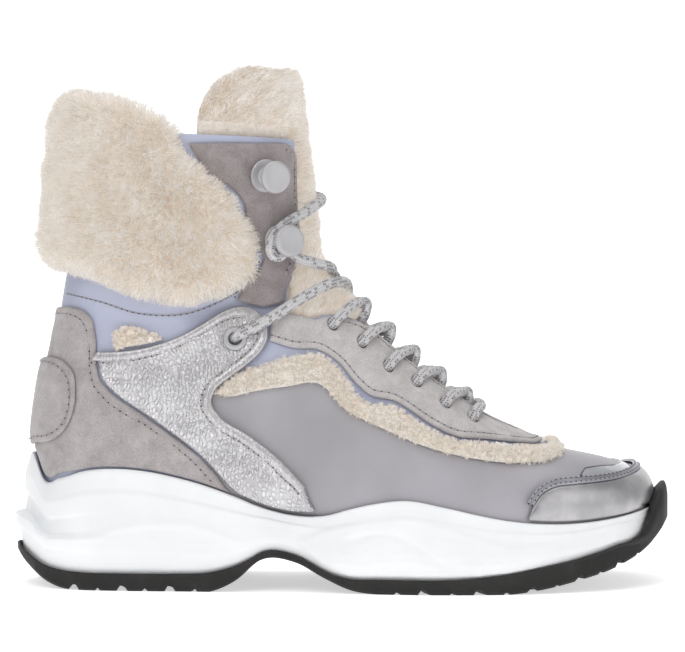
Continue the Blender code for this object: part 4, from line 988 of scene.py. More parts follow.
def locate(along, up):
    """The row and turn, on the outer side, of a point seen from the side."""
    want = np.stack(side_point(along, up), axis=-1)
    rows, turns = np.meshgrid(
        np.linspace(0, LAST_ROWS[-1], 209), np.linspace(0, math.pi, 145), indexing="ij"
    )
    seen = surface_point(rows, turns)[..., [0, 2]].reshape(-1, 2)
    rows, turns = rows.reshape(-1), turns.reshape(-1)
    row, turn = np.empty(len(want)), np.empty(len(want))
    for k, point in enumerate(want):
        best = np.argmin(((seen - point) ** 2).sum(-1))
        row[k], turn[k] = rows[best], turns[best]
    near = np.linspace(-1, 1, 9)
    for reach in (1.0, 0.25, 0.06, 0.015):
        some_rows = np.clip(row[:, None] + 0.13 * reach * near, 0, LAST_ROWS[-1])
        some_turns = np.clip(turn[:, None] + 0.022 * reach * near, 0, math.pi)
        r = np.repeat(some_rows, 9, axis=1)
        t = np.tile(some_turns, (1, 9))
        miss = ((surface_point(r, t)[..., [0, 2]] - want[:, None, :]) ** 2).sum(-1)
        best = np.argmin(miss, axis=1)
        picked = np.arange(len(want))
        row, turn = r[picked, best], t[picked, best]
    return np.stack([row, turn], axis=-1)


def edge_curve(points, step=EDGE_STEP):
    """A smooth run of side view shares through points, one about every step."""
    along, up = np.array(points, float).T
    x, z = side_point(along, up)
    reach = np.concatenate([[0], np.cumsum(np.hypot(np.diff(x), np.diff(z)))])
    at = np.linspace(0, reach[-1], max(2, int(round(reach[-1] / step)) + 1))
    if len(points) == 2:
        return np.stack([np.interp(at, reach, along), np.interp(at, reach, up)], -1)
    return np.stack([smooth(reach, along, at), smooth(reach, up, at)], -1)


def side_path(*edges):
    """Row and turn along smooth edges of the side view that follow each other."""
    runs = [locate(*edge_curve(points).T) for points in edges]
    return np.concatenate([run if i == 0 else run[1:] for i, run in enumerate(runs)])


def rim_path(start, end, lift=RIM_GAP):
    """Row and turn along the foam's rim, between two shares of the length."""
    count = max(2, int(abs(end - start) * SHOE_LENGTH / EDGE_STEP) + 1)
    along = np.linspace(start, end, count)
    x = (along - 0.5) * SHOE_LENGTH
    bed = height("bed", x)
    return locate(along, (height("rim", x) + lift - bed) / (COLLAR_HEIGHT - bed))


def rim_at_turns(turns, first_row, last_row):
    """Row and turn where an overlay's outer face meets the rim, going from row to row."""
    rows = np.linspace(first_row, last_row, 500)
    lift = np.full(len(rows), OVERLAY_GAP + OVERLAY_WALL)
    found = []
    for turn in turns:
        at = surface(rows, np.full(len(rows), turn), lift)
        over = at[:, 2] - height("rim", at[:, 0]) - END_RIM_GAP
        found.append((rows[np.argmax(over > 0)], turn))
    return np.array(found)


def mirrored(path, about=0.0):
    """The same path on the inner side, in reverse."""
    other = path[::-1].copy()
    other[:, 1] = 2 * about - other[:, 1]
    return other


def snapped(path, first=None, last=None):
    """A path with the turn of its first or last point set, to end on a centre line."""
    path = path.copy()
    if first is not None:
        path[0, 1] = first
    if last is not None:
        path[-1, 1] = last
    return path


def evened(path, step, closed=False):
    """A run of rows and turns with its points about a step apart over the surface."""
    if closed:
        path = np.concatenate([path, path[:1]])
    at = surface_point(*path.T)
    reach = np.concatenate([[0], np.cumsum(np.linalg.norm(np.diff(at, axis=0), axis=1))])
    count = max(2, int(round(reach[-1] / step)) + 1)
    want = np.linspace(0, reach[-1], count)
    even = np.stack([np.interp(want, reach, path[:, k]) for k in (0, 1)], -1)
    return even[:-1] if closed else even


def local_lengths(path):
    """Metres for one row and for one radian of turn, at each point of a path."""
    rows, turns = path.T
    step = 0.04
    last = LAST_ROWS[-1]
    ahead, behind = np.clip(rows + step, 0, last), np.clip(rows - step, 0, last)
    one_row = np.linalg.norm(surface_point(ahead, turns) - surface_point(behind, turns), axis=-1)
    one_turn = surface_point(rows, turns + step) - surface_point(rows, turns - step)
    return one_row / (ahead - behind), np.linalg.norm(one_turn, axis=-1) / (2 * step)


def shifted(path, across, closed=False):
    """A path moved sideways over the surface. Positive is to the left of its direction."""
    one_row, one_turn = local_lengths(path)
    if closed:
        run = np.roll(path, -1, axis=0) - np.roll(path, 1, axis=0)
    else:
        run = np.gradient(path, axis=0)
    run_row, run_turn = run[:, 0] * one_row, run[:, 1] * one_turn
    size = np.hypot(run_row, run_turn) + 1e-12
    move = np.stack([-run_turn / size / one_row, run_row / size / one_turn], -1)
    return path + move * np.asarray(across, float)[..., None]


def inside_polygon(points, polygon):
    """Which points lie in a polygon, by crossings."""
    x, y = points[:, 0], points[:, 1]
    hit = np.zeros(len(points), bool)
    for (ax, ay), (bx, by) in zip(polygon, np.roll(polygon, -1, axis=0)):
        if ay != by:
            crosses = (ay > y) != (by > y)
            hit ^= crosses & (x < ax + (y - ay) * (bx - ax) / (by - ay))
    return hit


def edge_distance(points, polygon):
    """Distance from each row and turn to a closed run's nearest side, over the surface."""
    at, corners = surface_point(*points.T), surface_point(*polygon.T)
    nearest = np.full(len(points), np.inf)
    for a, b in zip(corners, np.roll(corners, -1, axis=0)):
        run = b - a
        size = max(float(run @ run), 1e-18)
        t = np.clip((at - a) @ run / size, 0, 1)
        nearest = np.minimum(nearest, np.linalg.norm(at - a - t[:, None] * run, axis=1))
    return nearest


def turns_left(polygon):
    """1 if a closed run keeps its inside on the left of its direction, else -1."""
    x, y = polygon.T
    return 1.0 if (x * np.roll(y, -1) - y * np.roll(x, -1)).sum() > 0 else -1.0


def overlay_mesh(name, outline, low, high, holes=(), crown=0.0, bevel=BEVEL, relief=None):
    """A sewn-on panel between two lifts off the shell, with its cut edge rounded."""
    loops = [evened(outline, EDGE_STEP, closed=True)] + [np.asarray(hole) for hole in holes]
    insets = []
    for number, loop in enumerate(loops):
        way = turns_left(loop) * (1 if number == 0 else -1)
        for depth in (0.35 * bevel, bevel):
            insets.append(shifted(loop, way * np.full(len(loop), depth), closed=True))
    scale = np.array([ROW_SCALE, TURN_SCALE])
    low_corner, high_corner = loops[0].min(0) * scale, loops[0].max(0) * scale
    across, along = np.meshgrid(
        np.arange(low_corner[0], high_corner[0], LATTICE),
        np.arange(low_corner[1], high_corner[1], LATTICE * 0.87),
    )
    across[::2] += LATTICE / 2
    lattice = np.stack([across.reshape(-1), along.reshape(-1)], -1) / scale
    inner = np.concatenate(insets + [lattice])
    inner = inner[inside_polygon(inner, loops[0])]
    for hole in loops[1:]:
        inner = inner[~inside_polygon(inner, hole)]
    nearest = np.min([edge_distance(inner, loop) for loop in loops], axis=0)
    inner = inner[nearest > 0.25 * bevel]
    points = np.concatenate(loops + [inner])
    edges, start = [], 0
    for loop in loops:
        edges += [(start + i, start + (i + 1) % len(loop)) for i in range(len(loop))]
        start += len(loop)
    found = delaunay_2d_cdt([Vector(p) for p in points * scale], edges, [], 0, 1e-7)
    flat = np.array([tuple(v) for v in found[0]]) / scale
    faces = np.array(found[2])
    middle = flat[faces].mean(1)
    use = inside_polygon(middle, loops[0])
    for hole in loops[1:]:
        use &= ~inside_polygon(middle, hole)
    faces = faces[use].tolist()
    reach = np.min([edge_distance(flat, loop) for loop in loops], axis=0)
    round_over = (high - low) * 0.55 * (1 - np.clip(reach / bevel, 0, 1)) ** 2
    lift = high - round_over + crown * ease(0.0, 0.006, reach)
    if relief:
        lift = lift + relief(flat, surface_point(*flat.T)) * ease(0, 2 * bevel, reach)
    count = len(flat)
    sides = {}
    for face in faces:
        for a, b in zip(face, face[1:] + face[:1]):
            sides[a, b] = True
    border = [(a, b) for a, b in sides if (b, a) not in sides]
    every = faces + [[v + count for v in reversed(face)] for face in faces]
    every += [[b, a, a + count, b + count] for a, b in border]
    outer = surface(*flat.T, lift)
    under = surface(*flat.T, np.full(count, low))
    return mesh_of(name, np.concatenate([outer, under]) + SHIFT, every)


def suede_finish(name, dark, light, nap=0.9):
    """Brushed suede: a speckled nap that lies in soft swirls."""
    made = Finish(name, sheen_weight=0.35, sheen_roughness=0.6, specular_ior_level=0.15)
    speck = made.noise(0.00042, 2, 0.8)
    swirl = made.noise(0.007, 3, 0.5, 0.4)
    brush = (speck - 0.5) * nap + (swirl - 0.5) * 0.45
    colour = made.mix(brush.step(-0.32, 0.32), dark, light)
    normal = made.bump(swirl, 0.0005)
    return made.set(
        base_color=colour,
        roughness=0.92 + speck * 0.06,
        normal=made.bump(speck, 0.00022, normal),
    ).material


COUNTER_SUEDE = suede_finish("pale grey suede", tone(142, 135, 136), tone(196, 190, 190))


def thread_finish(name, shade):
    made = Finish(name, roughness=0.7)
    ply = made.noise(0.0004, 2)
    return made.set(
        base_color=made.mix(ply, tuple(0.75 * c for c in shade), shade),
        normal=made.bump(ply, 0.0001),
    ).material


THREAD = thread_finish("grey thread", tone(178, 173, 174))
# Painted shade: a dark grey standing for the shade inside each hole the needle made.
NEEDLE_HOLE_SHADE = thread_finish("needle hole painted shade", tone(62, 58, 60))


def capsules(starts, ends, ups, radius, flat=0.7, sides=6, rings=4):
    """Rounded bars from starts to ends, as points and quads of one joined mesh."""
    starts, ends, ups = (np.asarray(v, float) for v in (starts, ends, ups))
    run = ends - starts
    size = np.linalg.norm(run, axis=1, keepdims=True) + 1e-12
    ahead = run / size
    side = np.cross(ahead, ups)
    side /= np.linalg.norm(side, axis=1, keepdims=True) + 1e-12
    up = np.cross(side, ahead)
    shares = np.linspace(0, 1, rings)
    swell = np.sin(np.clip(shares, 0.04, 0.96) * math.pi) ** 0.45
    angle = np.linspace(0, 2 * math.pi, sides, endpoint=False)
    ring_points = []
    for share, wide in zip(shares, swell):
        middle = starts + run * share
        for a in angle:
            ring_points.append(
                middle
                + side * radius * wide * math.cos(a)
                + up * radius * flat * wide * math.sin(a)
            )
    points = np.stack(ring_points, axis=1)
    count = rings * sides
    cell = np.array(grid_faces(rings, sides, closed=True))
    quads = (cell[None] + np.arange(len(starts))[:, None, None] * count).reshape(-1, 4)
    return points.reshape(-1, 3), quads


def stitch_row(name, path, lift, pitch=STITCH_PITCH, thread=None, radius=THREAD_RADIUS):
    """A row of stitches along a path, each ending in a flat dark capsule, painted shade for the
    hole the needle made.
    """
    path = evened(path, pitch)
    gap = 0.13
    a = path[:-1] + (path[1:] - path[:-1]) * gap
    b = path[1:] - (path[1:] - path[:-1]) * gap
    up = surface_normal(*path[:-1].T)
    raised = np.full(len(a), lift + radius * 0.35)
    points, quads = capsules(surface(*a.T, raised), surface(*b.T, raised), up, radius)
    hole = np.full(len(path), lift + 0.00008)
    at = surface(*path.T, hole)
    up = surface_normal(*path.T)
    run = np.gradient(at, axis=0)
    run /= np.linalg.norm(run, axis=1, keepdims=True) + 1e-12
    # Painted shade: a flat dark capsule at each stitch's end, where the hole itself would be in
    # shade.
    more, holes = capsules(at - run * 0.00042, at + run * 0.00042, up, 0.00036, 0.25)
    quads = np.concatenate([quads, holes + len(points)])
    mesh = bpy.data.meshes.new(name)
    mesh.from_pydata((np.concatenate([points, more]) + SHIFT).tolist(), [], quads.tolist())
    index = np.zeros(len(quads), int)
    index[len(quads) - len(holes):] = 1
    mesh.polygons.foreach_set("material_index", index)
    mesh.update()
    return piece(name, mesh, [thread or THREAD, NEEDLE_HOLE_SHADE], smooth_angle=0)


def inset(path, depth, towards):
    """A path moved sideways by depth, to the side on which the point towards lies."""
    left = shifted(path, np.full(len(path), depth))
    right = shifted(path, np.full(len(path), -depth))
    scale = np.array([ROW_SCALE, TURN_SCALE])
    near_left = np.linalg.norm((left - towards) * scale, axis=1).mean()
    near_right = np.linalg.norm((right - towards) * scale, axis=1).mean()
    return left if near_left < near_right else right


def build_counter():
    path = side_path(COUNTER_TOP, COUNTER_FRONT)
    rim = rim_path(0.330, 0.090)
    heel = rim_at_turns(np.linspace(rim[-1, 1], math.pi, 40)[1:], 13.0, 19.0)
    outer = np.concatenate([snapped(path, first=math.pi), rim, heel])
    outline = np.concatenate([outer, mirrored(outer, math.pi)[1:-1]])
    low, high = OVERLAY_GAP, OVERLAY_GAP + OVERLAY_WALL

    def soft(flat, at):
        return 0.00018 * ripple(at, 0.012, 11)

    mesh = overlay_mesh("counter", outline, low, high, relief=soft)
    piece("heel_counter_suede", mesh, COUNTER_SUEDE, ["heel_counter"])
    edge = snapped(side_path(PATCH), first=math.pi, last=math.pi)
    outline = np.concatenate([edge, mirrored(edge, math.pi)[1:-1]])
    base = high + OVERLAY_GAP
    mesh = overlay_mesh("patch", outline, base, base + OVERLAY_WALL, crown=0.0006)
    piece("heel_patch_suede", mesh, COUNTER_SUEDE, ["heel_patch"])
    middle = edge.mean(0) + [0, 0.3]
    loop = inset(edge, 0.0022, middle)
    loop = np.concatenate([loop, mirrored(loop, math.pi)])
    stitch_row("patch_stitches", loop, base + OVERLAY_WALL + 0.0006)
    inner = inset(path, STITCH_INSET, np.array([17.0, math.pi]))
    for side, label in ((1, "outer"), (-1, "inner")):
        row = inner * [1, side]
        stitch_row("counter_stitches_" + label, row, high)


build_counter()


# Toe cap. Silver coated leather, smooth and bright, lasted over the toe box, with a stitched
# border band along its back edge and a window of glossier leather behind it.

TOE_CAP_GAP = 0.0011
TOE_CAP_TOP = (
    (0.956, 0.150),
    (0.942, 0.145),
    (0.911, 0.137),
    (0.880, 0.135),
    (0.842, 0.134),
    (0.811, 0.130),
    (0.792, 0.116),
    (0.780, 0.091),
)
BAND_WIDTH = 0.0036
BAND_RISE = 0.0006


def silver_finish(name, dark, light, grain=0.0, rough=0.30):
    """Silver coated leather. The tumbled kind has a net of short creases, with painted shade in
    their grooves and a painted highlight on their tops.
    """
    made = Finish(name, coat_roughness=0.15, specular_ior_level=0.6)
    cloud = made.noise(0.02, 4, 0.55)
    fine = made.noise(0.0007, 3, 0.6)
    normal = made.bump(fine, 0.00004)
    tone_and_painted_crease_shade = cloud.step(0.3, 0.7)
    if grain:
        net = made.cells(0.0019, "DISTANCE_TO_EDGE", made.stretched(1.2, 1.0, 0.8))
        drift = made.noise(0.0030, 4, 0.6, 0.8)
        crease = net.step(0.02, 0.28) * 0.65 + drift * 0.6
        normal = made.bump(crease, grain, normal)
        # Painted shade and highlight: the colour is darker in the crease grooves and lighter on
        # their raised tops.
        tone_and_painted_crease_shade = tone_and_painted_crease_shade * 0.4 + (crease * 0.75).step(0.3, 0.95) * 0.6
    return made.set(
        base_color=made.mix(tone_and_painted_crease_shade, dark, light),
        metallic=0.72,
        roughness=rough + cloud * 0.12,
        coat_weight=0.2,
        normal=normal,
    ).material


SMOOTH_SILVER = silver_finish("smooth silver", tone(166, 165, 168), tone(204, 202, 204))
BORDER_SILVER = silver_finish("border silver", tone(150, 151, 159), tone(178, 178, 188), rough=0.4)


def swept_strip(name, path, profile, closed=False):
    """A strip along a path: profile is a loop of (across, lift) in metres."""
    rings = []
    for across, lift in profile:
        moved = shifted(path, np.full(len(path), across), closed)
        rings.append(surface(*moved.T, np.full(len(path), lift)))
    grid = np.stack(rings, axis=1)
    count, around = grid.shape[:2]
    i, j = np.meshgrid(np.arange(count if closed else count - 1), np.arange(around), indexing="ij")
    n, m = (i + 1) % count, (j + 1) % around
    quads = np.stack([i * around + j, i * around + m, n * around + m, n * around + j], -1)
    faces = quads.reshape(-1, 4).tolist()
    if not closed:
        faces.append(list(range(around)))
        faces.append([(count - 1) * around + j for j in reversed(range(around))])
    return mesh_of(name, grid.reshape(-1, 3) + SHIFT, faces)


def band_profile(width, low, rise):
    """A flat band with rounded shoulders, standing rise over the lift low."""
    half = width / 2
    top = [(-half, low), (-0.92 * half, low + 0.6 * rise), (-0.7 * half, low + rise)]
    top += [(0.7 * half, low + rise), (0.92 * half, low + 0.6 * rise), (half, low)]
    return top + [(half, low - 0.0006), (-half, low - 0.0006)]


def build_toe_cap():
    edge = snapped(side_path(TOE_CAP_TOP), first=0.0)
    rim = rim_path(0.772, 0.950)
    front = rim_at_turns(np.linspace(rim[-1, 1], 0.0, 40)[1:], 0.02, 4.0)
    half = np.concatenate([edge, rim, front])
    outline = np.concatenate([half, mirrored(half)[1:-1]])
    low, high = TOE_CAP_GAP, TOE_CAP_GAP + OVERLAY_WALL
    mesh = overlay_mesh("toe cap", outline, low, high)
    piece("toe_cap_leather", mesh, SMOOTH_SILVER, ["toe_cap"])
    full = evened(np.concatenate([mirrored(edge)[:-1], edge]), EDGE_STEP)
    band = inset(full, BAND_WIDTH / 2, np.array([1.0, 0.0]))
    mesh = swept_strip("toe border", band, band_profile(BAND_WIDTH, high, BAND_RISE))
    piece("toe_cap_border", mesh, BORDER_SILVER)
    for name, depth in (("near", 0.0009), ("far", BAND_WIDTH - 0.0007)):
        row = inset(full, depth, np.array([1.0, 0.0]))
        stitch_row("toe_stitches_" + name, row, high + BAND_RISE, 0.0024)


build_toe_cap()


# Vamp window. A patch of glossy grey leather let in behind the toe cap, with thin dark edges.

WINDOW_RISE = 0.0004
WINDOW_LINE = 0.0008
WINDOW_BACK = table(
    "row degrees",
    (4.20, 0), (4.34, 12), (4.71, 27), (5.45, 36), (5.90, 42), (6.03, 52),
)
WINDOW_LOW = table(
    "row degrees",
    (5.62, 58), (5.10, 56), (4.54, 50), (3.98, 38), (3.62, 21), (3.60, 0),
)


def gloss_finish(name, dark, light):
    """Patent leather under a clear coat."""
    made = Finish(name, coat_weight=0.8, coat_roughness=0.04)
    cloud = made.noise(0.012, 3)
    return made.set(base_color=made.mix(cloud, dark, light), roughness=0.22 + cloud * 0.1).material


def build_vamp_window():
    edges = (WINDOW_BACK, WINDOW_LOW)
    half = np.concatenate([np.stack([e["row"], np.radians(e["degrees"])], -1) for e in edges])
    outline = np.concatenate([half, mirrored(half)[1:-1]])
    gloss = gloss_finish("gloss leather", tone(158, 158, 164), tone(186, 188, 193))
    dark = gloss_finish("gloss edge", tone(92, 92, 98), tone(112, 112, 118))
    mesh = overlay_mesh("window", outline, -WINDOW_RISE, WINDOW_RISE, bevel=WINDOW_RISE * 0.4)
    piece("vamp_window", mesh, gloss)
    path = evened(outline, EDGE_STEP, True)
    mesh = swept_strip("window line", path, band_profile(WINDOW_LINE, 0.0, WINDOW_RISE * 1.6), True)
    piece("vamp_window_line", mesh, dark)


build_vamp_window()


# Quarter strap. Silver tumbled leather, sewn down to the shell behind the arch and running up to
# a round tab on each side, with a rolled edge and one painted metal eyelet.

STRAP_WALL = 0.0018
STRAP_GAP = 0.0010
STRAP_RIM_GAP = 0.0024
EYELET_RADIUS = 0.0052
EYELET_HOLE_RADIUS = 0.0029
EYELET_HEIGHT = 0.0012
STRAP_EYELET = (0.337, 0.468)
ROLL_WIDTH = 0.0036
ROLL_RISE = 0.0007
STRAP_BACK = (
    (0.313, 0.112),
    (0.289, 0.153),
    (0.251, 0.201),
    (0.203, 0.260),
    (0.156, 0.320),
    (0.140, 0.353),
    (0.134, 0.392),
    (0.133, 0.426),
)
STRAP_TOP = (
    (0.133, 0.426),
    (0.165, 0.428),
    (0.197, 0.436),
    (0.229, 0.453),
    (0.262, 0.479),
    (0.294, 0.515),
    (0.320, 0.545),
    (0.343, 0.557),
    (0.366, 0.546),
    (0.383, 0.511),
    (0.385, 0.471),
    (0.375, 0.437),
    (0.357, 0.405),
    (0.328, 0.364),
    (0.308, 0.332),
    (0.302, 0.302),
    (0.314, 0.265),
    (0.358, 0.219),
    (0.408, 0.162),
    (0.443, 0.104),
)

TUMBLED = silver_finish("tumbled silver", tone(184, 182, 185), tone(238, 237, 238), 0.00040)
ROLLED = silver_finish("rolled silver edge", tone(182, 180, 182), tone(222, 220, 222), 0.00012)


def painted_finish():
    """Grey paint on cast metal, satin, with a faint orange peel."""
    made = Finish("painted metal", coat_roughness=0.25)
    peel = made.noise(0.0012, 2)
    cloud = made.noise(0.006, 3)
    colour = made.mix(cloud, tone(172, 171, 174), tone(192, 191, 194))
    return made.set(
        base_color=colour,
        metallic=0.25,
        roughness=0.42 + cloud * 0.08,
        coat_weight=0.15,
        normal=made.bump(peel, 0.00003),
    ).material


PAINTED = painted_finish()


def hole_loop(row, turn, radius, sides=28):
    """A round hole on the surface, as a loop of rows and turns."""
    one_row, one_turn = local_lengths(np.array([[row, turn]]))
    angle = np.linspace(0, 2 * math.pi, sides, endpoint=False)
    rows = row + np.cos(angle) * radius / one_row
    return np.stack([rows, turn + np.sin(angle) * radius / one_turn], -1)


def lathe(name, profile, row, turn, lift, sides=48, closed=False):
    """A turned piece: a profile of (radius, height) spun about the surface's normal."""
    at = surface(row, turn, lift)
    out = Vector(surface_normal(row, turn))
    side = out.orthogonal().normalized()
    other = out.cross(side)
    side, other, out = (np.array(v) for v in (side, other, out))
    angle = np.linspace(0, 2 * math.pi, sides, endpoint=False)[:, None, None]
    radius, rise = (np.array(v)[None, :, None] for v in zip(*profile))
    points = at + (side * np.cos(angle) + other * np.sin(angle)) * radius + out * rise
    count = len(profile)
    i, j = np.meshgrid(np.arange(sides), np.arange(count if closed else count - 1), indexing="ij")
    k, m = (i + 1) % sides, (j + 1) % count
    quads = np.stack([i * count + j, k * count + j, k * count + m, i * count + m], -1)
    faces = quads.reshape(-1, 4).tolist()
    if not closed:
        faces.append([i * count for i in range(sides)])
        faces.append([i * count + count - 1 for i in reversed(range(sides))])
    return mesh_of(name, points.reshape(-1, 3) + SHIFT, faces)


def build_strap():
    strap = side_path(STRAP_BACK, STRAP_TOP)
    outline = np.concatenate([strap, rim_path(0.459, 0.343, STRAP_RIM_GAP)])
    row, turn = locate([STRAP_EYELET[0]], [STRAP_EYELET[1]])[0]
    top = STRAP_GAP + STRAP_WALL
    edge = evened(side_path(STRAP_TOP), EDGE_STEP)
    middle = np.array([row, turn])
    roll = inset(edge, ROLL_WIDTH / 2, middle)
    seam = inset(edge, ROLL_WIDTH + 0.0006, middle)
    ring = (
        (EYELET_HOLE_RADIUS, -STRAP_WALL),
        (EYELET_RADIUS * 0.9, -0.0002),
        (EYELET_RADIUS, 0.0003),
        (EYELET_RADIUS - 0.0003, EYELET_HEIGHT * 0.72),
        (EYELET_RADIUS - 0.0010, EYELET_HEIGHT * 0.98),
        (EYELET_RADIUS - 0.0016, EYELET_HEIGHT),
        (EYELET_HOLE_RADIUS + 0.0003, EYELET_HEIGHT * 0.7),
        (EYELET_HOLE_RADIUS, EYELET_HEIGHT * 0.2),
    )

    def puffed(flat, at):
        return 0.0005 + 0.00025 * ripple(at, 0.010, 21)

    for side, label in ((1, "outer"), (-1, "inner")):
        hole = hole_loop(row, turn * side, EYELET_HOLE_RADIUS + 0.0006)
        shape = outline * [1, side]
        mesh = overlay_mesh("strap", shape, STRAP_GAP, top, [hole], relief=puffed)
        piece("strap_leather_" + label, mesh, TUMBLED, ["quarter_strap_" + label])
        profile = band_profile(ROLL_WIDTH, top, ROLL_RISE)
        mesh = swept_strip("rolled edge", roll * [1, side], profile)
        piece("strap_roll_" + label, mesh, ROLLED)
        stitch_row("strap_stitches_" + label, seam * [1, side], top + 0.0005, 0.0026)
        mesh = lathe("eyelet", ring, row, turn * side, top + 0.0005, closed=True)
        piece("strap_grommet_" + label, mesh, PAINTED, ["strap_eyelet_" + label])


build_strap()


# Shaft stays and lace studs. A curved stay of darker grey suede is sewn up the front edge of the
# shaft on each side, and carries two round studs of painted metal on short necks.

STUD_RADIUS = 0.0073
STUD_NECK_RADIUS = 0.0034
STUD_HEIGHT = 0.0106
STUD_PLATE = 0.0014
STUD_CAP = 0.0026
STUDS = table("along up", (0.378, 0.906), (0.398, 0.733))
STAY_BACK = (
    (0.268, 0.988),
    (0.277, 0.962),
    (0.300, 0.904),
    (0.335, 0.866),
    (0.349, 0.831),
    (0.354, 0.775),
    (0.369, 0.719),
    (0.378, 0.688),
    (0.371, 0.657),
    (0.351, 0.612),
    (0.339, 0.574),
)
STAY_FOOT = ((0.339, 0.574), (0.347, 0.569), (0.366, 0.560), (0.379, 0.556))

# The stay's rounded top corner, as rows and degrees past the throat's edge.
STAY_CORNER = ((23.15, 2.6), (23.36, 3.9), (23.53, 5.8), (23.66, 8.2), (23.76, 11.2), (23.82, 15.0))

STAY_SUEDE = suede_finish("grey suede", tone(122, 113, 114), tone(172, 163, 164))


def throat_path(start, end, count, margin):
    rows = np.linspace(start, end, count)
    return np.stack([rows, throat_turn(rows) + math.radians(margin)], -1)


def stud_profile():
    """The stud from its plate, up its neck, over the dished cap."""
    cap, radius = STUD_HEIGHT - STUD_CAP, STUD_RADIUS * 0.97
    return (
        (STUD_RADIUS, 0.0002),
        (STUD_RADIUS, STUD_PLATE * 0.5),
        (STUD_RADIUS - 0.0004, STUD_PLATE * 0.85),
        (STUD_RADIUS - 0.0012, STUD_PLATE),
        (STUD_NECK_RADIUS + 0.0008, STUD_PLATE),
        (STUD_NECK_RADIUS, STUD_PLATE + 0.0007),
        (STUD_NECK_RADIUS, cap - 0.0006),
        (STUD_NECK_RADIUS + 0.0008, cap),
        (radius - 0.0006, cap + 0.0001),
        (radius, cap + 0.0005),
        (radius, cap + STUD_CAP * 0.62),
        (radius - 0.0002, cap + STUD_CAP * 0.80),
        (radius - 0.0008, cap + STUD_CAP * 0.95),
        (radius - 0.0014, cap + STUD_CAP),
        (radius - 0.0022, cap + STUD_CAP * 0.94),
        (radius - 0.0045, cap + STUD_CAP * 0.90),
        (0.0004, cap + STUD_CAP * 0.88),
    )


def build_shaft_stays():
    back = side_path(STAY_BACK, STAY_FOOT)
    front = throat_path(14.75, 22.9, 70, 2.0)
    corner = np.array([(row, throat_turn(row) + math.radians(past)) for row, past in STAY_CORNER])
    outline = np.concatenate([back, front, corner])
    low, high = OVERLAY_GAP, OVERLAY_GAP + OVERLAY_WALL
    centre = outline.mean(0)
    back_row = inset(evened(side_path(STAY_BACK), EDGE_STEP), STITCH_INSET * 0.9, centre)
    front_row = np.concatenate([front[6:], corner])
    front_row = inset(evened(front_row, EDGE_STEP), STITCH_INSET, centre)

    def soft(flat, at):
        return 0.00016 * ripple(at, 0.011, 31)

    for side, label in ((1, "outer"), (-1, "inner")):
        mesh = overlay_mesh("stay", outline * [1, side], low, high, relief=soft)
        piece("stay_suede_" + label, mesh, STAY_SUEDE, ["shaft_stay_" + label])
        stitch_row("stay_back_stitches_" + label, back_row * [1, side], high)
        stitch_row("stay_front_stitches_" + label, front_row * [1, side], high)
        for place, (row, turn) in zip(("upper", "lower"), locate(STUDS["along"], STUDS["up"])):
            mesh = lathe("stud", stud_profile(), row, turn * side, high, 64)
            node = f"lace_stud_{place}_{label}"
            piece(f"stud_{place}_{label}", mesh, PAINTED, [node], 35)


build_shaft_stays()


# Eyestay. Grey suede sewn round the lower throat as one horseshoe, punched for six pairs of lace
# holes, with a line of stitches inside its lower edge and along the throat.

LACE_HOLE_RADIUS = 0.0027
LACE_HOLES = table(
    "along up",
    (0.482, 0.524),
    (0.526, 0.483),
    (0.566, 0.426),
    (0.608, 0.390),
    (0.651, 0.337),
    (0.693, 0.300),
)
EYESTAY_LOW = (
    (0.3895, 0.470),
    (0.428, 0.457),
    (0.460, 0.459),
    (0.489, 0.433),
    (0.518, 0.381),
    (0.540, 0.353),
    (0.577, 0.344),
    (0.595, 0.328),
    (0.628, 0.292),
    (0.665, 0.262),
    (0.718, 0.251),
    (0.772, 0.238),
)
EYESTAY_TIP = ((0.772, 0.238), (0.792, 0.234), (0.806, 0.236))
EYESTAY_BACK = ((0.391, 0.545), (0.3895, 0.470))

EYESTAY_SUEDE = suede_finish("light grey suede", tone(162, 157, 158), tone(218, 214, 213))


def build_eyestay():
    rows = np.linspace(13.5, 12.4, 12)
    notch = np.stack([rows, throat_turn(rows) + math.radians(2.0)], -1)
    throat = throat_path(12.2, 9.2, 40, 2.0)
    mouth = np.array([(8.72, math.radians(9.5)), (8.42, math.radians(6.0)), (8.32, 0.0)])
    inner = np.concatenate([notch, throat, mouth])
    low_edge = side_path(EYESTAY_LOW, EYESTAY_TIP)
    outer = np.concatenate([side_path(EYESTAY_BACK), low_edge[1:], [(7.42, 0.0)]])
    half = np.concatenate([inner[::-1], outer])
    outline = np.concatenate([half, mirrored(half)[1:-1]])
    low, high = OVERLAY_GAP, OVERLAY_GAP + OVERLAY_WALL
    holes = []
    spots = locate(LACE_HOLES["along"], LACE_HOLES["up"])
    for row, turn in spots:
        for side in (1, -1):
            holes.append(hole_loop(row, turn * side, LACE_HOLE_RADIUS, 20))

    def soft(flat, at):
        return 0.00014 * ripple(at, 0.009, 41)

    mesh = overlay_mesh("eyestay", outline, low, high, holes, relief=soft)
    piece("eyestay_suede", mesh, EYESTAY_SUEDE, ["eyestay"])
    centre = spots.mean(0)
    edge = evened(low_edge, EDGE_STEP)
    row = inset(edge, 0.0024, centre)
    front = inset(evened(inner[4:-1], EDGE_STEP), 0.0024, centre)
    for side, label in ((1, "outer"), (-1, "inner")):
        stitch_row("eyestay_low_stitches_" + label, row * [1, side], high)
        stitch_row("eyestay_throat_stitches_" + label, front * [1, side], high)


build_eyestay()


# Fleece. Long cream pile on a knitted back: the tongue, the cuff sewn round the collar, and the
# short curly trims round the vamp and over each strap.

CUFF_DEPTH = 0.0125
TRIM_DEPTH = 0.0042
TONGUE_WALL = 0.0050
TONGUE_FLEECE = 0.0090
TUFT_PITCH = 0.0042


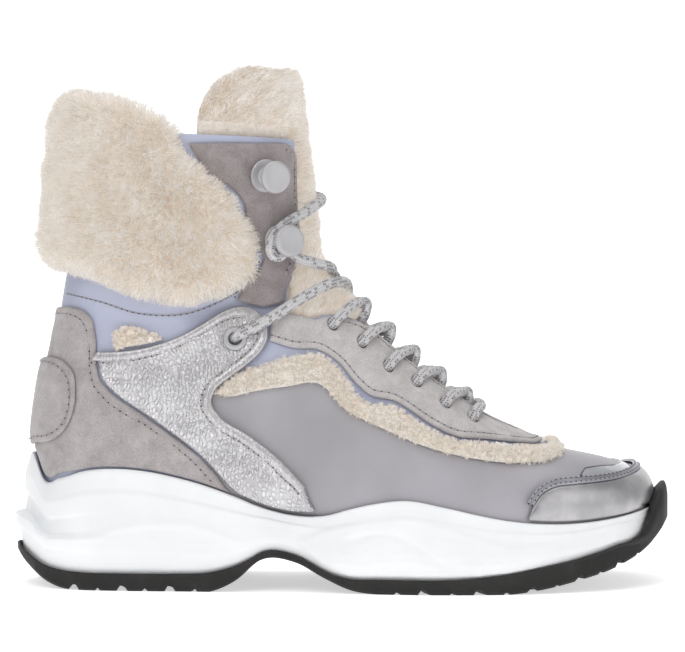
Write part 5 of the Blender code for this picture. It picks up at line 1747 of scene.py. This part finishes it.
def fleece_finish(name, root, tip, glow):
    """Strands of pile, shaded from root to tip and from one strand to the next. The light that
    scatters many times between white fibres is made up for by a faint glow."""
    made = Finish(name, roughness=0.75, specular_ior_level=0.25, sheen_weight=0.15)
    along = made.attribute("tip")
    strand = made.attribute("strand")
    colour = made.mix(along.step(0.0, 0.7), root, tip)
    warm = tuple(c * k for c, k in zip(tip, (0.88, 0.80, 0.71)))
    colour = made.mix((1 - strand) * 0.62, colour, warm)
    made.set(base_color=colour, roughness=0.7 + strand * 0.2)
    made.set(emission_color=colour, emission_strength=glow)
    return made.lit_through(colour, 0.5).material


def backing_finish(name, dark, light):
    """The matted pile close to the knitted back."""
    made = Finish(name, roughness=0.95, sheen_weight=0.3)
    tuft = made.noise(0.0022, 5, 0.65, 0.5)
    return made.set(
        base_color=made.mix(tuft.step(0.3, 0.7), dark, light),
        normal=made.bump(tuft, 0.0012),
    ).material


CUFF_PILE = fleece_finish("cream pile", tone(244, 237, 229), tone(254, 252, 249), 0.52)
CUFF_BACK = backing_finish("cream pile backing", tone(238, 226, 212), tone(252, 246, 238))
TRIM_PILE = fleece_finish("trim pile", tone(228, 222, 214), tone(253, 250, 246), 0.50)
TRIM_BACK = backing_finish("trim backing", tone(222, 214, 203), tone(246, 241, 233))


def corner_normals(points, triangles):
    """Smooth normals at the points of a triangle mesh."""
    a, b, c = (points[triangles[:, k]] for k in range(3))
    face = np.cross(b - a, c - a)
    total = np.zeros(points.shape)
    for k in range(3):
        np.add.at(total, triangles[:, k], face)
    return total / (np.linalg.norm(total, axis=1, keepdims=True) + 1e-12)


def scattered(points, triangles, normals, count, seed, weight=None):
    """Roots spread evenly over a mesh, with the normal at each."""
    random = np.random.default_rng(seed)
    a, b, c = (points[triangles[:, k]] for k in range(3))
    area = np.linalg.norm(np.cross(b - a, c - a), axis=1)
    if weight is not None:
        area = area * weight
    picked = random.choice(len(triangles), count, p=area / area.sum())
    u, v = random.random(count), random.random(count)
    over = u + v > 1
    u[over], v[over] = 1 - u[over], 1 - v[over]
    corners = triangles[picked]
    shares = np.stack([1 - u - v, u, v], -1)[..., None]
    roots = (points[corners] * shares).sum(1)
    out = (normals[corners] * shares).sum(1)
    return roots, out / (np.linalg.norm(out, axis=1, keepdims=True) + 1e-12), random


def nearest_tuft(roots, tufts):
    """The index of the tuft closest to each root."""
    best = np.empty(len(roots), int)
    for start in range(0, len(roots), 2000):
        part = roots[start:start + 2000]
        gap = ((part[:, None, :] - tufts[None, :, :]) ** 2).sum(-1)
        best[start:start + 2000] = np.argmin(gap, axis=1)
    return best


def pile(name, source, count, length, lean, width, finish, seed, curl=0.5, clump=0.6,
         tuft_pitch=TUFT_PITCH, weight=None):
    """Strands of pile over a mesh, drawn into tufts that lean one way and curl."""
    points, triangles, normals = source
    roots, out, random = scattered(points, triangles, normals, count, seed, weight)
    area = np.linalg.norm(
        np.cross(
            points[triangles[:, 1]] - points[triangles[:, 0]],
            points[triangles[:, 2]] - points[triangles[:, 0]],
        ),
        axis=1,
    ) / 2
    share = area if weight is None else area * (weight > 0)
    tufts_wanted = max(20, int(share.sum() / tuft_pitch**2))
    tufts, tuft_out, _ = scattered(points, triangles, normals, tufts_wanted, seed + 1, weight)
    mine = nearest_tuft(roots, tufts)
    tuft_length = length * random.uniform(0.75, 1.2, tufts_wanted)
    sway = random.normal(size=(tufts_wanted, 3)) * curl
    flow = lean(tufts)
    tuft_way = tuft_out * 0.75 + flow + sway
    tuft_way /= np.linalg.norm(tuft_way, axis=1, keepdims=True)
    tuft_tip = tufts + tuft_way * tuft_length[:, None]
    own_way = out * 0.9 + lean(roots) + random.normal(size=(count, 3)) * curl * 0.8
    own_way /= np.linalg.norm(own_way, axis=1, keepdims=True)
    own_length = length * random.uniform(0.72, 1.03, count)
    own_tip = roots + own_way * own_length[:, None]
    drawn = (clump * random.uniform(0.5, 1.15, count))[:, None]
    tip = own_tip * (1 - drawn) + tuft_tip[mine] * drawn
    tip = tip + random.normal(size=(count, 3)) * length * 0.04
    wave = random.normal(size=(count, 3)) * length * 0.16 * curl
    bow = 0.22 * length * random.uniform(0.6, 1.3, (count, 1))
    middle = roots * 0.45 + tip * 0.55 + out * bow
    middle = middle + wave
    roots = roots - out * 0.0004
    run = tip - roots
    side = np.cross(run, out + random.normal(size=(count, 3)) * 0.7)
    side /= np.linalg.norm(side, axis=1, keepdims=True) + 1e-12
    half = (width * random.uniform(0.6, 1.2, count) / 2)[:, None] * side
    verts = np.stack([roots - half, roots + half, middle - half * 0.8, middle + half * 0.8, tip], 1)
    base = np.arange(count)[:, None] * 5
    triangles = np.concatenate([base + [0, 1, 3], base + [0, 3, 2], base + [2, 3, 4]])
    mesh = bpy.data.meshes.new(name)
    flat = (verts.reshape(-1, 3) + SHIFT).astype(np.float32)
    mesh.vertices.add(len(flat))
    mesh.vertices.foreach_set("co", flat.reshape(-1))
    mesh.loops.add(triangles.size)
    mesh.loops.foreach_set("vertex_index", triangles.reshape(-1).astype(np.int32))
    mesh.polygons.add(len(triangles))
    mesh.polygons.foreach_set("loop_start", np.arange(0, triangles.size, 3, dtype=np.int32))
    mesh.update(calc_edges=True)
    tip_share = np.tile([0.0, 0.0, 0.55, 0.55, 1.0], count).astype(np.float32)
    mottle = 0.5 + 0.26 * ripple(roots, 0.013, seed) + 0.14 * ripple(roots, 0.005, seed + 3)
    strand = np.clip(mottle + random.normal(size=count) * 0.16, 0, 1)
    strand = np.repeat(strand, 5).astype(np.float32)
    for key, values in (("tip", tip_share), ("strand", strand)):
        mesh.attributes.new(key, "FLOAT", "POINT").data.foreach_set("value", values)
    made = piece(name, mesh, finish, smooth_angle=0)
    mesh.shade_smooth()
    tips = (tip - roots) / (np.linalg.norm(tip - roots, axis=1, keepdims=True) + 1e-12)
    soft = out * 1.0 + tips * 0.45
    soft /= np.linalg.norm(soft, axis=1, keepdims=True)
    mesh.normals_split_custom_set_from_vertices(np.repeat(soft, 5, axis=0))
    return made


def as_triangles(quads):
    quads = np.asarray(quads)
    return np.concatenate([quads[:, [0, 1, 2]], quads[:, [0, 2, 3]]])


# The tongue at each row: half its width in degrees of turn, how far its middle bulges out of the
# throat as a share of TONGUE_FLEECE, and its thickness as a share of TONGUE_WALL.
TONGUE = table(
    "row half_angle bulge thick",
    (7.6, 26, -0.30, 0.5),
    (8.4, 28, -0.20, 0.7),
    (10.0, 32, -0.05, 0.9),
    (12.0, 36, 0.02, 1.0),
    (14.0, 64, 0.10, 1.1),
    (16.0, 62, 0.40, 1.3),
    (18.0, 60, 0.62, 1.6),
    (20.0, 62, 0.75, 1.9),
    (22.0, 70, 0.66, 2.2),
    (24.0, 84, 0.40, 2.5),
    (24.6, 83, 0.32, 2.6),
    (25.2, 78, 0.22, 2.6),
    (25.65, 68, 0.10, 2.3),
    (25.9, 54, -0.10, 1.4),
)
TONGUE_ROWS = 120
TONGUE_COLUMNS = 72
PILE_ROOM = 0.0030


def build_tongue():
    rows = np.linspace(TONGUE["row"][0], TONGUE["row"][-1], TONGUE_ROWS)
    half = np.radians(smooth(TONGUE["row"], TONGUE["half_angle"], rows))[:, None]
    turns = half * np.linspace(-1, 1, TONGUE_COLUMNS)[None, :]
    edge = np.where(rows > THROAT_ROW + 0.3, throat_turn(rows), np.radians(4.0))[:, None]
    bulge = smooth(TONGUE["row"], TONGUE["bulge"], rows)[:, None] * TONGUE_FLEECE - PILE_ROOM
    thick = smooth(TONGUE["row"], TONGUE["thick"], rows)[:, None] * TONGUE_WALL
    under = -(UPPER_WALL + 3 * FIT_GAP)
    side = np.abs(turns)
    shown = 1 - ease(0.55, 1.0, side / (edge - np.radians(1.0)))
    free = ease(COLLAR_ROW + 0.1, COLLAR_ROW + 0.9, rows)[:, None]
    lip = np.cos(side / half * math.pi / 2.2)
    rise = np.maximum(shown * (rows[:, None] > THROAT_ROW + 0.3), free * lip)
    outer_lift = under + np.maximum(bulge - under, 0) * rise
    round_off = 1 - 0.72 * ease(0.62, 1.0, side / half)
    inner_lift = np.minimum(under - thick * round_off, outer_lift - thick * round_off * 0.6)
    spread = np.repeat(rows[:, None], TONGUE_COLUMNS, 1)
    outer, inner = surface(spread, turns, outer_lift), surface(spread, turns, inner_lift)
    outer = outer + 0.0004 * ripple(outer, 0.006, 51)[..., None] * surface_normal(spread, turns)
    count = rows.size * TONGUE_COLUMNS
    faces = grid_faces(rows.size, TONGUE_COLUMNS)
    sides = {}
    for face in faces:
        for a, b in zip(face, face[1:] + face[:1]):
            sides[a, b] = True
    border = [(a, b) for a, b in sides if (b, a) not in sides]
    every = faces + [[v + count for v in reversed(face)] for face in faces]
    every += [[b, a, a + count, b + count] for a, b in border]
    points = np.concatenate([outer.reshape(-1, 3), inner.reshape(-1, 3)])
    mesh = mesh_of("tongue pad", points + SHIFT, every)
    pad = piece("tongue_pad", mesh, CUFF_BACK, ["tongue"], 0)
    front_out = surface_normal(spread, turns).reshape(-1, 3)
    out = np.concatenate([front_out, -front_out])
    quads = np.array(every[: len(faces)] + every[len(faces):2 * len(faces)])
    row_of = np.concatenate([spread.reshape(-1), spread.reshape(-1)])
    turn_of = np.concatenate([side.reshape(-1), side.reshape(-1)])
    edge_of = np.tile(np.repeat(edge, TONGUE_COLUMNS, 1).reshape(-1), 2)
    front = np.arange(len(row_of)) < count
    bare = (front & (turn_of < edge_of * 0.95) & (row_of > 9.5)) | (row_of > 24.35)
    triangles = as_triangles(quads)
    weight = bare[triangles].all(1) * np.where(front[triangles[:, 0]], 1.0, 0.5)
    weight = weight * (row_of[triangles[:, 0]] > 12.4)

    def lean(at):
        return np.stack([0.05 * np.ones(len(at)), 0.0 * at[:, 1], 0.25 * np.ones(len(at))], -1)

    source = (points, triangles, out)
    pile("tongue_pile", source, 48000, 0.0052, lean, 0.00024, CUFF_PILE, 61,
         curl=0.20, clump=0.30, weight=weight)


build_tongue()


# The cuff across its depth, from the lower edge over the outside to the inner face: how far up
# the cuff, and how far out as a share of CUFF_DEPTH.
CUFF = table(
    "up out",
    (0.00, 0.26),
    (0.03, 0.72),
    (0.14, 1.00),
    (0.50, 1.03),
    (0.84, 0.94),
    (0.96, 0.70),
    (1.00, 0.35),
    (1.00, 0.00),
    (0.66, 0.00),
    (0.33, 0.00),
    (0.00, 0.00),
)
CUFF_TOP_ROWS = table(
    "degrees row", (40, 24.15), (95, 24.25), (120, 24.7), (150, 24.9), (180, 24.85)
)
CUFF_STATIONS = 220
CUFF_LOW = (
    (0.076, 0.672),
    (0.100, 0.660),
    (0.142, 0.636),
    (0.203, 0.592),
    (0.265, 0.580),
    (0.326, 0.612),
    (0.367, 0.655),
)
CUFF_FRONT = ((0.367, 0.690), (0.342, 0.785), (0.318, 0.844), (0.288, 0.898), (0.262, 0.939))


def build_cuff():
    low_edge, front_edge = side_path(CUFF_LOW), side_path(CUFF_FRONT)
    tip = 0.5 * (low_edge[-1] + front_edge[0])
    low_edge, front_edge = np.vstack([low_edge, tip]), np.vstack([tip, front_edge])
    low_order, front_order = np.argsort(low_edge[:, 1]), np.argsort(front_edge[:, 1])
    spread = (1 - np.cos(np.linspace(0, math.pi / 2, CUFF_STATIONS // 2 + 1))) ** 0.8
    half = tip[1] + (math.pi - tip[1]) * (0.012 + 0.988 * spread)
    turns = np.concatenate([half, 2 * math.pi - half[-2::-1]])
    folded = np.minimum(turns, 2 * math.pi - turns)
    low = np.interp(folded, low_edge[low_order, 1], low_edge[low_order, 0])
    high = np.interp(folded, front_edge[front_order, 1], front_edge[front_order, 0])
    top = smooth(np.radians(CUFF_TOP_ROWS["degrees"]), CUFF_TOP_ROWS["row"], folded)
    past = ease(front_edge[-1, 1] - 0.02, front_edge[-1, 1] + 0.22, folded)
    high = high * (1 - past) + top * past
    taper = ease(0.0, 0.55, folded - tip[1]) ** 0.5 * 0.85 + 0.15
    knots = np.arange(len(CUFF["up"]), dtype=float)
    fine = np.linspace(0, knots[-1], 61)
    up = np.clip(smooth(knots, CUFF["up"], fine), 0, 1)
    out = np.clip(smooth(knots, CUFF["out"], fine), 0, 1.05)
    rows = low[:, None] + (high - low)[:, None] * up[None, :]
    room = np.minimum(PILE_ROOM * 1.1, CUFF_DEPTH * taper * 0.45)
    depth = CUFF_DEPTH * taper - room
    lifts = OVERLAY_GAP + FIT_GAP + depth[:, None] * out[None, :]
    around = np.repeat(turns[:, None], rows.shape[1], 1)
    grid = surface(rows, around, lifts)
    normal = surface_normal(rows, around)
    lump = (0.0011 * ripple(grid, 0.017, 71) + 0.0006 * ripple(grid, 0.007, 72)) * taper[:, None]
    grid = grid + normal * (lump * ease(0.2, 0.6, out)[None, :])[..., None]
    count = rows.shape[1]
    quads = grid_faces(len(turns), count, closed=True)
    faces = list(quads)
    faces.append(list(range(count)))
    faces.append([(len(turns) - 1) * count + j for j in reversed(range(count))])
    points = grid.reshape(-1, 3)
    mesh = mesh_of("cuff pad", points + SHIFT, faces)
    pad = piece("cuff_pad", mesh, CUFF_BACK, ["fleece_cuff"], 0)
    seam = evened(side_path(CUFF_LOW)[2:] - [0.62, 0.0], EDGE_STEP)
    for side, label in ((1, "outer"), (-1, "inner")):
        stitch_row("cuff_stitches_" + label, seam * [1, side], 0.0001, 0.0026)
    triangles = as_triangles(quads)
    normals = corner_normals(points, triangles)
    flat_normal = normal.reshape(-1, 3)
    if (normals * flat_normal).sum() < 0:
        normals = -normals
    share = np.tile(out, len(turns))
    weight = (share[triangles].mean(1) > 0.12) * 1.0

    def lean(at):
        return np.stack([-0.06 * np.ones(len(at)), 0.0 * at[:, 1], -0.16 * np.ones(len(at))], -1)

    source = (points, triangles, normals)
    for layer in range(2):
        pile(f"cuff_pile_{layer + 1}", source, 48000, 0.0056, lean, 0.00023, CUFF_PILE,
             73 + 7 * layer, curl=0.22, clump=0.32, weight=weight)


build_cuff()

WINDOW = (
    ((0.160, 0.437), (0.157, 0.463), (0.163, 0.487), (0.174, 0.494), (0.191, 0.489)),
    ((0.191, 0.489), (0.211, 0.474), (0.230, 0.461)),
    ((0.230, 0.461), (0.197, 0.446), (0.160, 0.437)),
)


def mesh_source(mesh):
    """Points, triangles and outward normals of a placed mesh, back in the last's own frame."""
    points = np.empty(len(mesh.vertices) * 3)
    mesh.vertices.foreach_get("co", points)
    normals = np.empty(len(mesh.vertices) * 3)
    mesh.vertices.foreach_get("normal", normals)
    mesh.calc_loop_triangles()
    triangles = np.empty(len(mesh.loop_triangles) * 3, int)
    mesh.loop_triangles.foreach_get("vertices", triangles)
    return points.reshape(-1, 3) - SHIFT, triangles.reshape(-1, 3), normals.reshape(-1, 3)


# A point inside the forefoot, to tell the outside of a trim from its underside.
SHOE_CORE = (0.02, 0.0, 0.03)


def build_trims():
    low_run, top_run = side_path(TRIM_LOW), side_path(TRIM_TOP)
    half = np.concatenate([[(7.30, 0.0)], top_run[::-1], low_run, [(6.95, 0.0)]])
    outline = np.concatenate([half, mirrored(half)[1:-1]])
    low, high = OVERLAY_GAP, OVERLAY_GAP + OVERLAY_WALL
    crown = (TRIM_DEPTH - OVERLAY_WALL) * 0.75
    window = side_path(*WINDOW)[:-1]
    shapes = [("fleece_trim", outline, crown, 38000, "vamp_trim")]
    for side, label in ((1, "outer"), (-1, "inner")):
        shapes.append(("ankle_trim_" + label, window * [1, side], 0.0004, 4000, "ankle_" + label))
    for seed, (node, shape, rise, count, name) in enumerate(shapes):
        mesh = overlay_mesh(name, shape, low, high, crown=rise)
        piece(name + "_back", mesh, TRIM_BACK, [node], 0)
        points, triangles, normals = mesh_source(mesh)
        middle_out = normals[triangles].mean(1)
        from_core = points[triangles].mean(1) - np.array(SHOE_CORE)
        weight = ((middle_out * from_core).sum(1) > 0) * 1.0

        def lean(at):
            return np.stack([0.1 * np.ones(len(at)), 0 * at[:, 1], -0.1 * np.ones(len(at))], -1)

        pile(name + "_pile", (points, triangles, normals), count, 0.0021, lean, 0.00020,
             TRIM_PILE, 81 + seed, curl=0.8, clump=0.7, tuft_pitch=0.0018,
             weight=weight)


build_trims()


# Lace. One round braided cord, light grey with darker flecks, threaded through the eyestay, the
# strap eyelets and round the studs. Its two ends are tucked away behind the inner studs.

LACE_RADIUS = 0.0024
LACE_SIDES = 18
BRAID_PITCH = 0.0016
BRAID_STRANDS = 10


def lace_finish():
    """Braided cord: plaited strands, with dark flecks where one strand is darker, and painted shade
    in the grooves between strands.
    """
    made = Finish("flecked lace", roughness=0.75, sheen_weight=0.2, specular_ior_level=0.3)
    along, around = made.attribute("along"), made.attribute("around")
    u, v = along / BRAID_PITCH, around * BRAID_STRANDS
    first, second = u + v * 0.5, u - v * 0.5
    wave = {"operation": "SINE"}
    one = made.node("ShaderNodeMath", wave, {0: first * (2 * math.pi)})
    other = made.node("ShaderNodeMath", wave, {0: second * (2 * math.pi)})
    plait = (one * other) * 0.5 + 0.5
    cell = made.node(
        "ShaderNodeCombineXYZ",
        {},
        {
            0: made.node("ShaderNodeMath", {"operation": "FLOOR"}, {0: first}),
            1: made.node("ShaderNodeMath", {"operation": "FLOOR"}, {0: second}),
        },
    )
    chance = made.node("ShaderNodeTexWhiteNoise", {"noise_dimensions": "3D"}, {"Vector": cell})
    fleck = (chance > 0.58) * plait.step(0.42, 0.62)
    fibre = made.noise(0.0003, 2)
    colour = made.mix(fibre.step(0.3, 0.7), tone(190, 188, 190), tone(226, 225, 227))
    # Painted shade: the colour darkens where the plait's relief is low, in the grooves between
    # strands.
    colour = made.mix((1 - plait.step(0.1, 0.5)) * 0.35, colour, tone(130, 128, 132))
    colour = made.mix(fleck * 0.85, colour, tone(92, 90, 94))
    normal = made.bump(plait, 0.00030)
    return made.set(base_color=colour, normal=made.bump(fibre, 0.00006, normal)).material


LACE = lace_finish()


def strand(controls, step=0.0006):
    """Grid points of a cord through controls of (row, turn, lift), with its two coordinates."""
    controls = np.array(controls, float)
    at = surface(controls[:, 0], controls[:, 1], controls[:, 2])
    reach = np.concatenate([[0], np.cumsum(np.linalg.norm(np.diff(at, axis=0), axis=1))])
    want = np.linspace(0, reach[-1], max(4, int(reach[-1] / step)))
    row, turn, lift = (smooth(reach, controls[:, k], want) for k in range(3))
    centre, up = surface(row, turn, lift), surface_normal(row, turn)
    ahead = np.gradient(centre, axis=0)
    ahead /= np.linalg.norm(ahead, axis=1, keepdims=True) + 1e-12
    side = np.cross(ahead, up)
    small = np.linalg.norm(side, axis=1, keepdims=True)
    side = side / (small + 1e-9)
    for k in range(1, len(side)):
        if small[k, 0] < 0.35 or side[k] @ side[k - 1] < 0.6:
            kept = side[k - 1] - ahead[k] * (side[k - 1] @ ahead[k])
            side[k] = kept / (np.linalg.norm(kept) + 1e-12)
    up = np.cross(side, ahead)
    angle = np.linspace(-math.pi / 2, 1.5 * math.pi, LACE_SIDES + 1)[None, :, None]
    ring = centre[:, None] + LACE_RADIUS * (
        side[:, None] * np.cos(angle) + up[:, None] * np.sin(angle)
    )
    around = np.repeat(np.linspace(0, 1, LACE_SIDES + 1)[None], len(want), 0)
    return ring, np.repeat(want[:, None], LACE_SIDES + 1, 1), around


def lace_piece(name, runs, node):
    points, along, around, faces = [], [], [], []
    for controls in runs:
        ring, u, v = strand(controls)
        first = sum(len(p) for p in points)
        faces += [[first + k for k in face] for face in grid_faces(*ring.shape[:2])]
        for end in (0, len(ring) - 1):
            cap = [first + end * (LACE_SIDES + 1) + j for j in range(LACE_SIDES)]
            faces.append(cap if end == 0 else cap[::-1])
        points.append(ring.reshape(-1, 3))
        along.append(u.reshape(-1))
        around.append(v.reshape(-1))
    mesh = bpy.data.meshes.new(name)
    mesh.from_pydata((np.concatenate(points) + SHIFT).tolist(), [], faces)
    for key, values in (("along", along), ("around", around)):
        data = np.concatenate(values).astype(np.float32)
        mesh.attributes.new(key, "FLOAT", "POINT").data.foreach_set("value", data)
    mesh.update()
    return piece(name, mesh, LACE, [node], 80)


def around_spot(spot, radius, degrees):
    """A row and turn at a bearing round a spot: 0 is up the shoe, 90 towards its back."""
    one_row, one_turn = local_lengths(np.array([spot]))
    angle = math.radians(degrees)
    return np.array(
        [
            spot[0] + math.cos(angle) * radius / one_row[0],
            spot[1] + math.sin(angle) * radius / one_turn[0] * np.sign(spot[1]),
        ]
    )


# The long strand from the outer strap's eyelet over the throat, as rows, degrees of turn, and
# lifts off the shell in lace radii.
ANKLE_STRAND = table(
    "row degrees lift",
    (15.43, 61.6, -0.3),
    (15.36, 60.0, 1.2),
    (15.20, 58.0, 2.1),
    (14.80, 51.2, 2.1),
    (14.36, 40.0, 1.9),
    (13.90, 26.2, 1.9),
    (13.52, 13.3, 1.6),
    (13.24, 1.0, 1.0),
    (13.06, -6.0, 0.2),
    (12.96, -10.0, -0.9),
    (12.92, -12.0, -2.0),
)
# Where the strand to the lower stud leaves the throat.
STUD_STRAND = table(
    "row degrees lift",
    (13.75, 4.0, -0.6),
    (13.95, 8.0, 1.0),
    (14.20, 13.0, 2.1),
    (14.80, 19.5, 2.3),
    (15.60, 24.0, 2.4),
)


THROAT_RISE = 0.0040
# The inner strap's strand crosses this many rows above the outer one, and this much under it.
INNER_RISE = 0.45
INNER_DROP = 0.0016


def over_throat(start, end, bow, forward=0.12):
    """A strand from one hole over the throat to another, low over the eyestay's edges."""
    base = OVERLAY_GAP + OVERLAY_WALL + LACE_RADIUS
    run = end - start
    controls = [(*start, -0.0034), (*start, 0.0004), (*(start + run * 0.06), base - 0.0008)]
    for share, lift in ((0.16, 0.2), (0.32, 0.75), (0.50, 1.0), (0.68, 0.75), (0.84, 0.2)):
        ahead = forward * math.sin(share * math.pi)
        controls.append((*(start + run * share - [ahead, 0]), base + bow * lift))
    controls += [(*(start + run * 0.94), base - 0.0008), (*end, 0.0004), (*end, -0.0034)]
    return controls


def under_edge(start, far, bow):
    """A strand from a hole over the throat that dives under the far edge towards its next hole."""
    base = OVERLAY_GAP + OVERLAY_WALL + LACE_RADIUS
    row = start[0] + (far[0] - start[0]) * 0.80
    width = local_lengths(np.array([[row, 0.0]]))[1][0]
    edge = -np.sign(start[1]) * (throat_turn(row) - (LACE_RADIUS + 2 * FIT_GAP) / width)
    end = np.array([row, edge])
    run = end - start
    controls = [(*start, -0.0034), (*start, 0.0004), (*(start + run * 0.07), base - 0.0008)]
    for share, lift in ((0.2, 0.2), (0.40, 0.8), (0.60, 1.0), (0.78, 0.55)):
        controls.append((*(start + run * share), base + bow * lift))
    controls += [(*(start + run * 0.93), base - 0.0030), (*end, -0.0016), (*end, -0.0050)]
    return controls


def build_lace():
    holes = locate(LACE_HOLES["along"], LACE_HOLES["up"])
    for k in range(len(holes) - 1):
        runs = []
        for side, bow in ((1, -0.0022), (-1, -0.0052)):
            runs.append(under_edge(holes[k] * [1, side], holes[k + 1] * [1, -side], bow))
        lace_piece(f"lace_cross_{k + 1}", runs, f"lace_crossing_{k + 1}")
    last = holes[-1]
    lace_piece("lace_bar", [over_throat(last, last * [1, -1], -0.0022)], "lace_bar_toe")
    lower_stud, upper_stud = locate(STUDS["along"], STUDS["up"])[::-1]
    wrap = STUD_NECK_RADIUS + LACE_RADIUS + 0.0002
    seat = OVERLAY_GAP + OVERLAY_WALL + STUD_PLATE + LACE_RADIUS + 0.0002
    runs = []
    for side in (1, -1):
        turns = np.radians(ANKLE_STRAND["degrees"]) * side
        rows, lifts = ANKLE_STRAND["row"], ANKLE_STRAND["lift"] * LACE_RADIUS
        if side < 0:
            from_edge = np.abs(ANKLE_STRAND["degrees"])
            rows = rows + INNER_RISE * ease(58, 10, from_edge)
            lifts = lifts - INNER_DROP * ease(30, 5, from_edge)
            rows, turns, lifts = rows[:-3], turns[:-3], lifts[:-3]
        runs.append(list(zip(rows, turns, lifts)))
    lace_piece("lace_ankle", runs, "lace_crossing_ankle")
    runs = []
    for side in (1, -1):
        stud, far = lower_stud * [1, side], upper_stud * [1, -side]
        turns = np.radians(STUD_STRAND["degrees"]) * side
        run = list(zip(STUD_STRAND["row"], turns, STUD_STRAND["lift"] * LACE_RADIUS))
        run += [(*around_spot(stud, wrap, d), seat) for d in (192, 165, 135, 105, 75, 45, 22)]
        if side > 0:
            leave, arrive = around_spot(stud, wrap, 22), around_spot(far, wrap, -150)
            for share, rise in ((0.2, 0.2), (0.42, 0.8), (0.58, 1.0), (0.78, 0.7)):
                at = leave + (arrive - leave) * share
                run.append((*at, seat + THROAT_RISE * rise))
            run += [(*around_spot(far, wrap, d), seat) for d in (-150, -180, -215, -250, -290)]
        runs.append(run)
    lace_piece("lace_shaft", runs, "lace_strand_shaft")


build_lace()


# Floor, light and camera. A white sweep with soft light from above and from both sides, and the
# long lens of a product photograph, level with the shoe.

FOCAL_LENGTH = 150.0
SENSOR = 36.0
VIEW_WIDTH = 0.3057
VIEW_HEIGHT_CENTRE = 0.1142
ELEVATION = 1.0
FLOOR_HALF = 2.6
SWEEP_BACK = 1.7
SWEEP_ROUND = 0.7
SWEEP_GLOW = 0.55
WORLD_GLOW = 0.32


def build_stage():
    """One white sheet: level under the shoe, then swept up behind it."""
    bend = np.linspace(0, math.pi / 2, 16)
    back = SWEEP_BACK + SWEEP_ROUND * np.sin(bend)
    rise = SWEEP_ROUND * (1 - np.cos(bend))
    run = [(-FLOOR_HALF, 0.0), *zip(back, rise), (back[-1], FLOOR_HALF)]
    points = [(x, y, z) for y, z in run for x in (-FLOOR_HALF, FLOOR_HALF)]
    sweep = bpy.data.meshes.new("sweep")
    sweep.from_pydata(points, [], grid_faces(len(run), 2))
    sweep.shade_smooth()
    made = Finish("white sweep", roughness=0.95, specular_ior_level=0.1)
    made.set(base_color=tone(250, 250, 250), emission_color=(1, 1, 1), emission_strength=SWEEP_GLOW)
    sweep.materials.append(made.material)
    obj = bpy.data.objects.new("sweep", sweep)
    bpy.context.scene.collection.objects.link(obj)


def soft_light(name, place, size, power, aim=(0, 0, 0.08)):
    light = bpy.data.lights.new(name, "AREA")
    light.shape = "RECTANGLE"
    light.size, light.size_y = size
    light.energy = power
    obj = bpy.data.objects.new(name, light)
    obj.location = place
    obj.rotation_euler = (Vector(aim) - Vector(place)).to_track_quat("-Z", "Y").to_euler()
    bpy.context.scene.collection.objects.link(obj)


def build_camera():
    camera = bpy.data.cameras.new("camera")
    camera.lens, camera.sensor_width = FOCAL_LENGTH, SENSOR
    camera.clip_start, camera.clip_end = 0.05, 60.0
    obj = bpy.data.objects.new("camera", camera)
    distance = FOCAL_LENGTH * VIEW_WIDTH / SENSOR
    lift = math.radians(ELEVATION)
    aim = Vector((0.0002, 0.0, VIEW_HEIGHT_CENTRE))
    obj.location = aim + Vector((0, -math.cos(lift), math.sin(lift))) * distance
    obj.rotation_euler = (aim - obj.location).to_track_quat("-Z", "Y").to_euler()
    bpy.context.scene.collection.objects.link(obj)
    bpy.context.scene.camera = obj


build_stage()
soft_light("key", (-0.6, -1.3, 1.3), (1.1, 1.1), 9)
soft_light("fill", (1.5, -1.2, 0.7), (1.0, 1.0), 4)
soft_light("top", (0.0, -0.1, 1.8), (1.8, 1.2), 12)
build_camera()
world = bpy.data.worlds.new("studio")
world.use_nodes = True
world.node_tree.nodes["Background"].inputs["Color"].default_value = (1, 1, 1, 1)
world.node_tree.nodes["Background"].inputs["Strength"].default_value = WORLD_GLOW
bpy.context.scene.world = world
bpy.context.scene.view_settings.view_transform = "Standard"
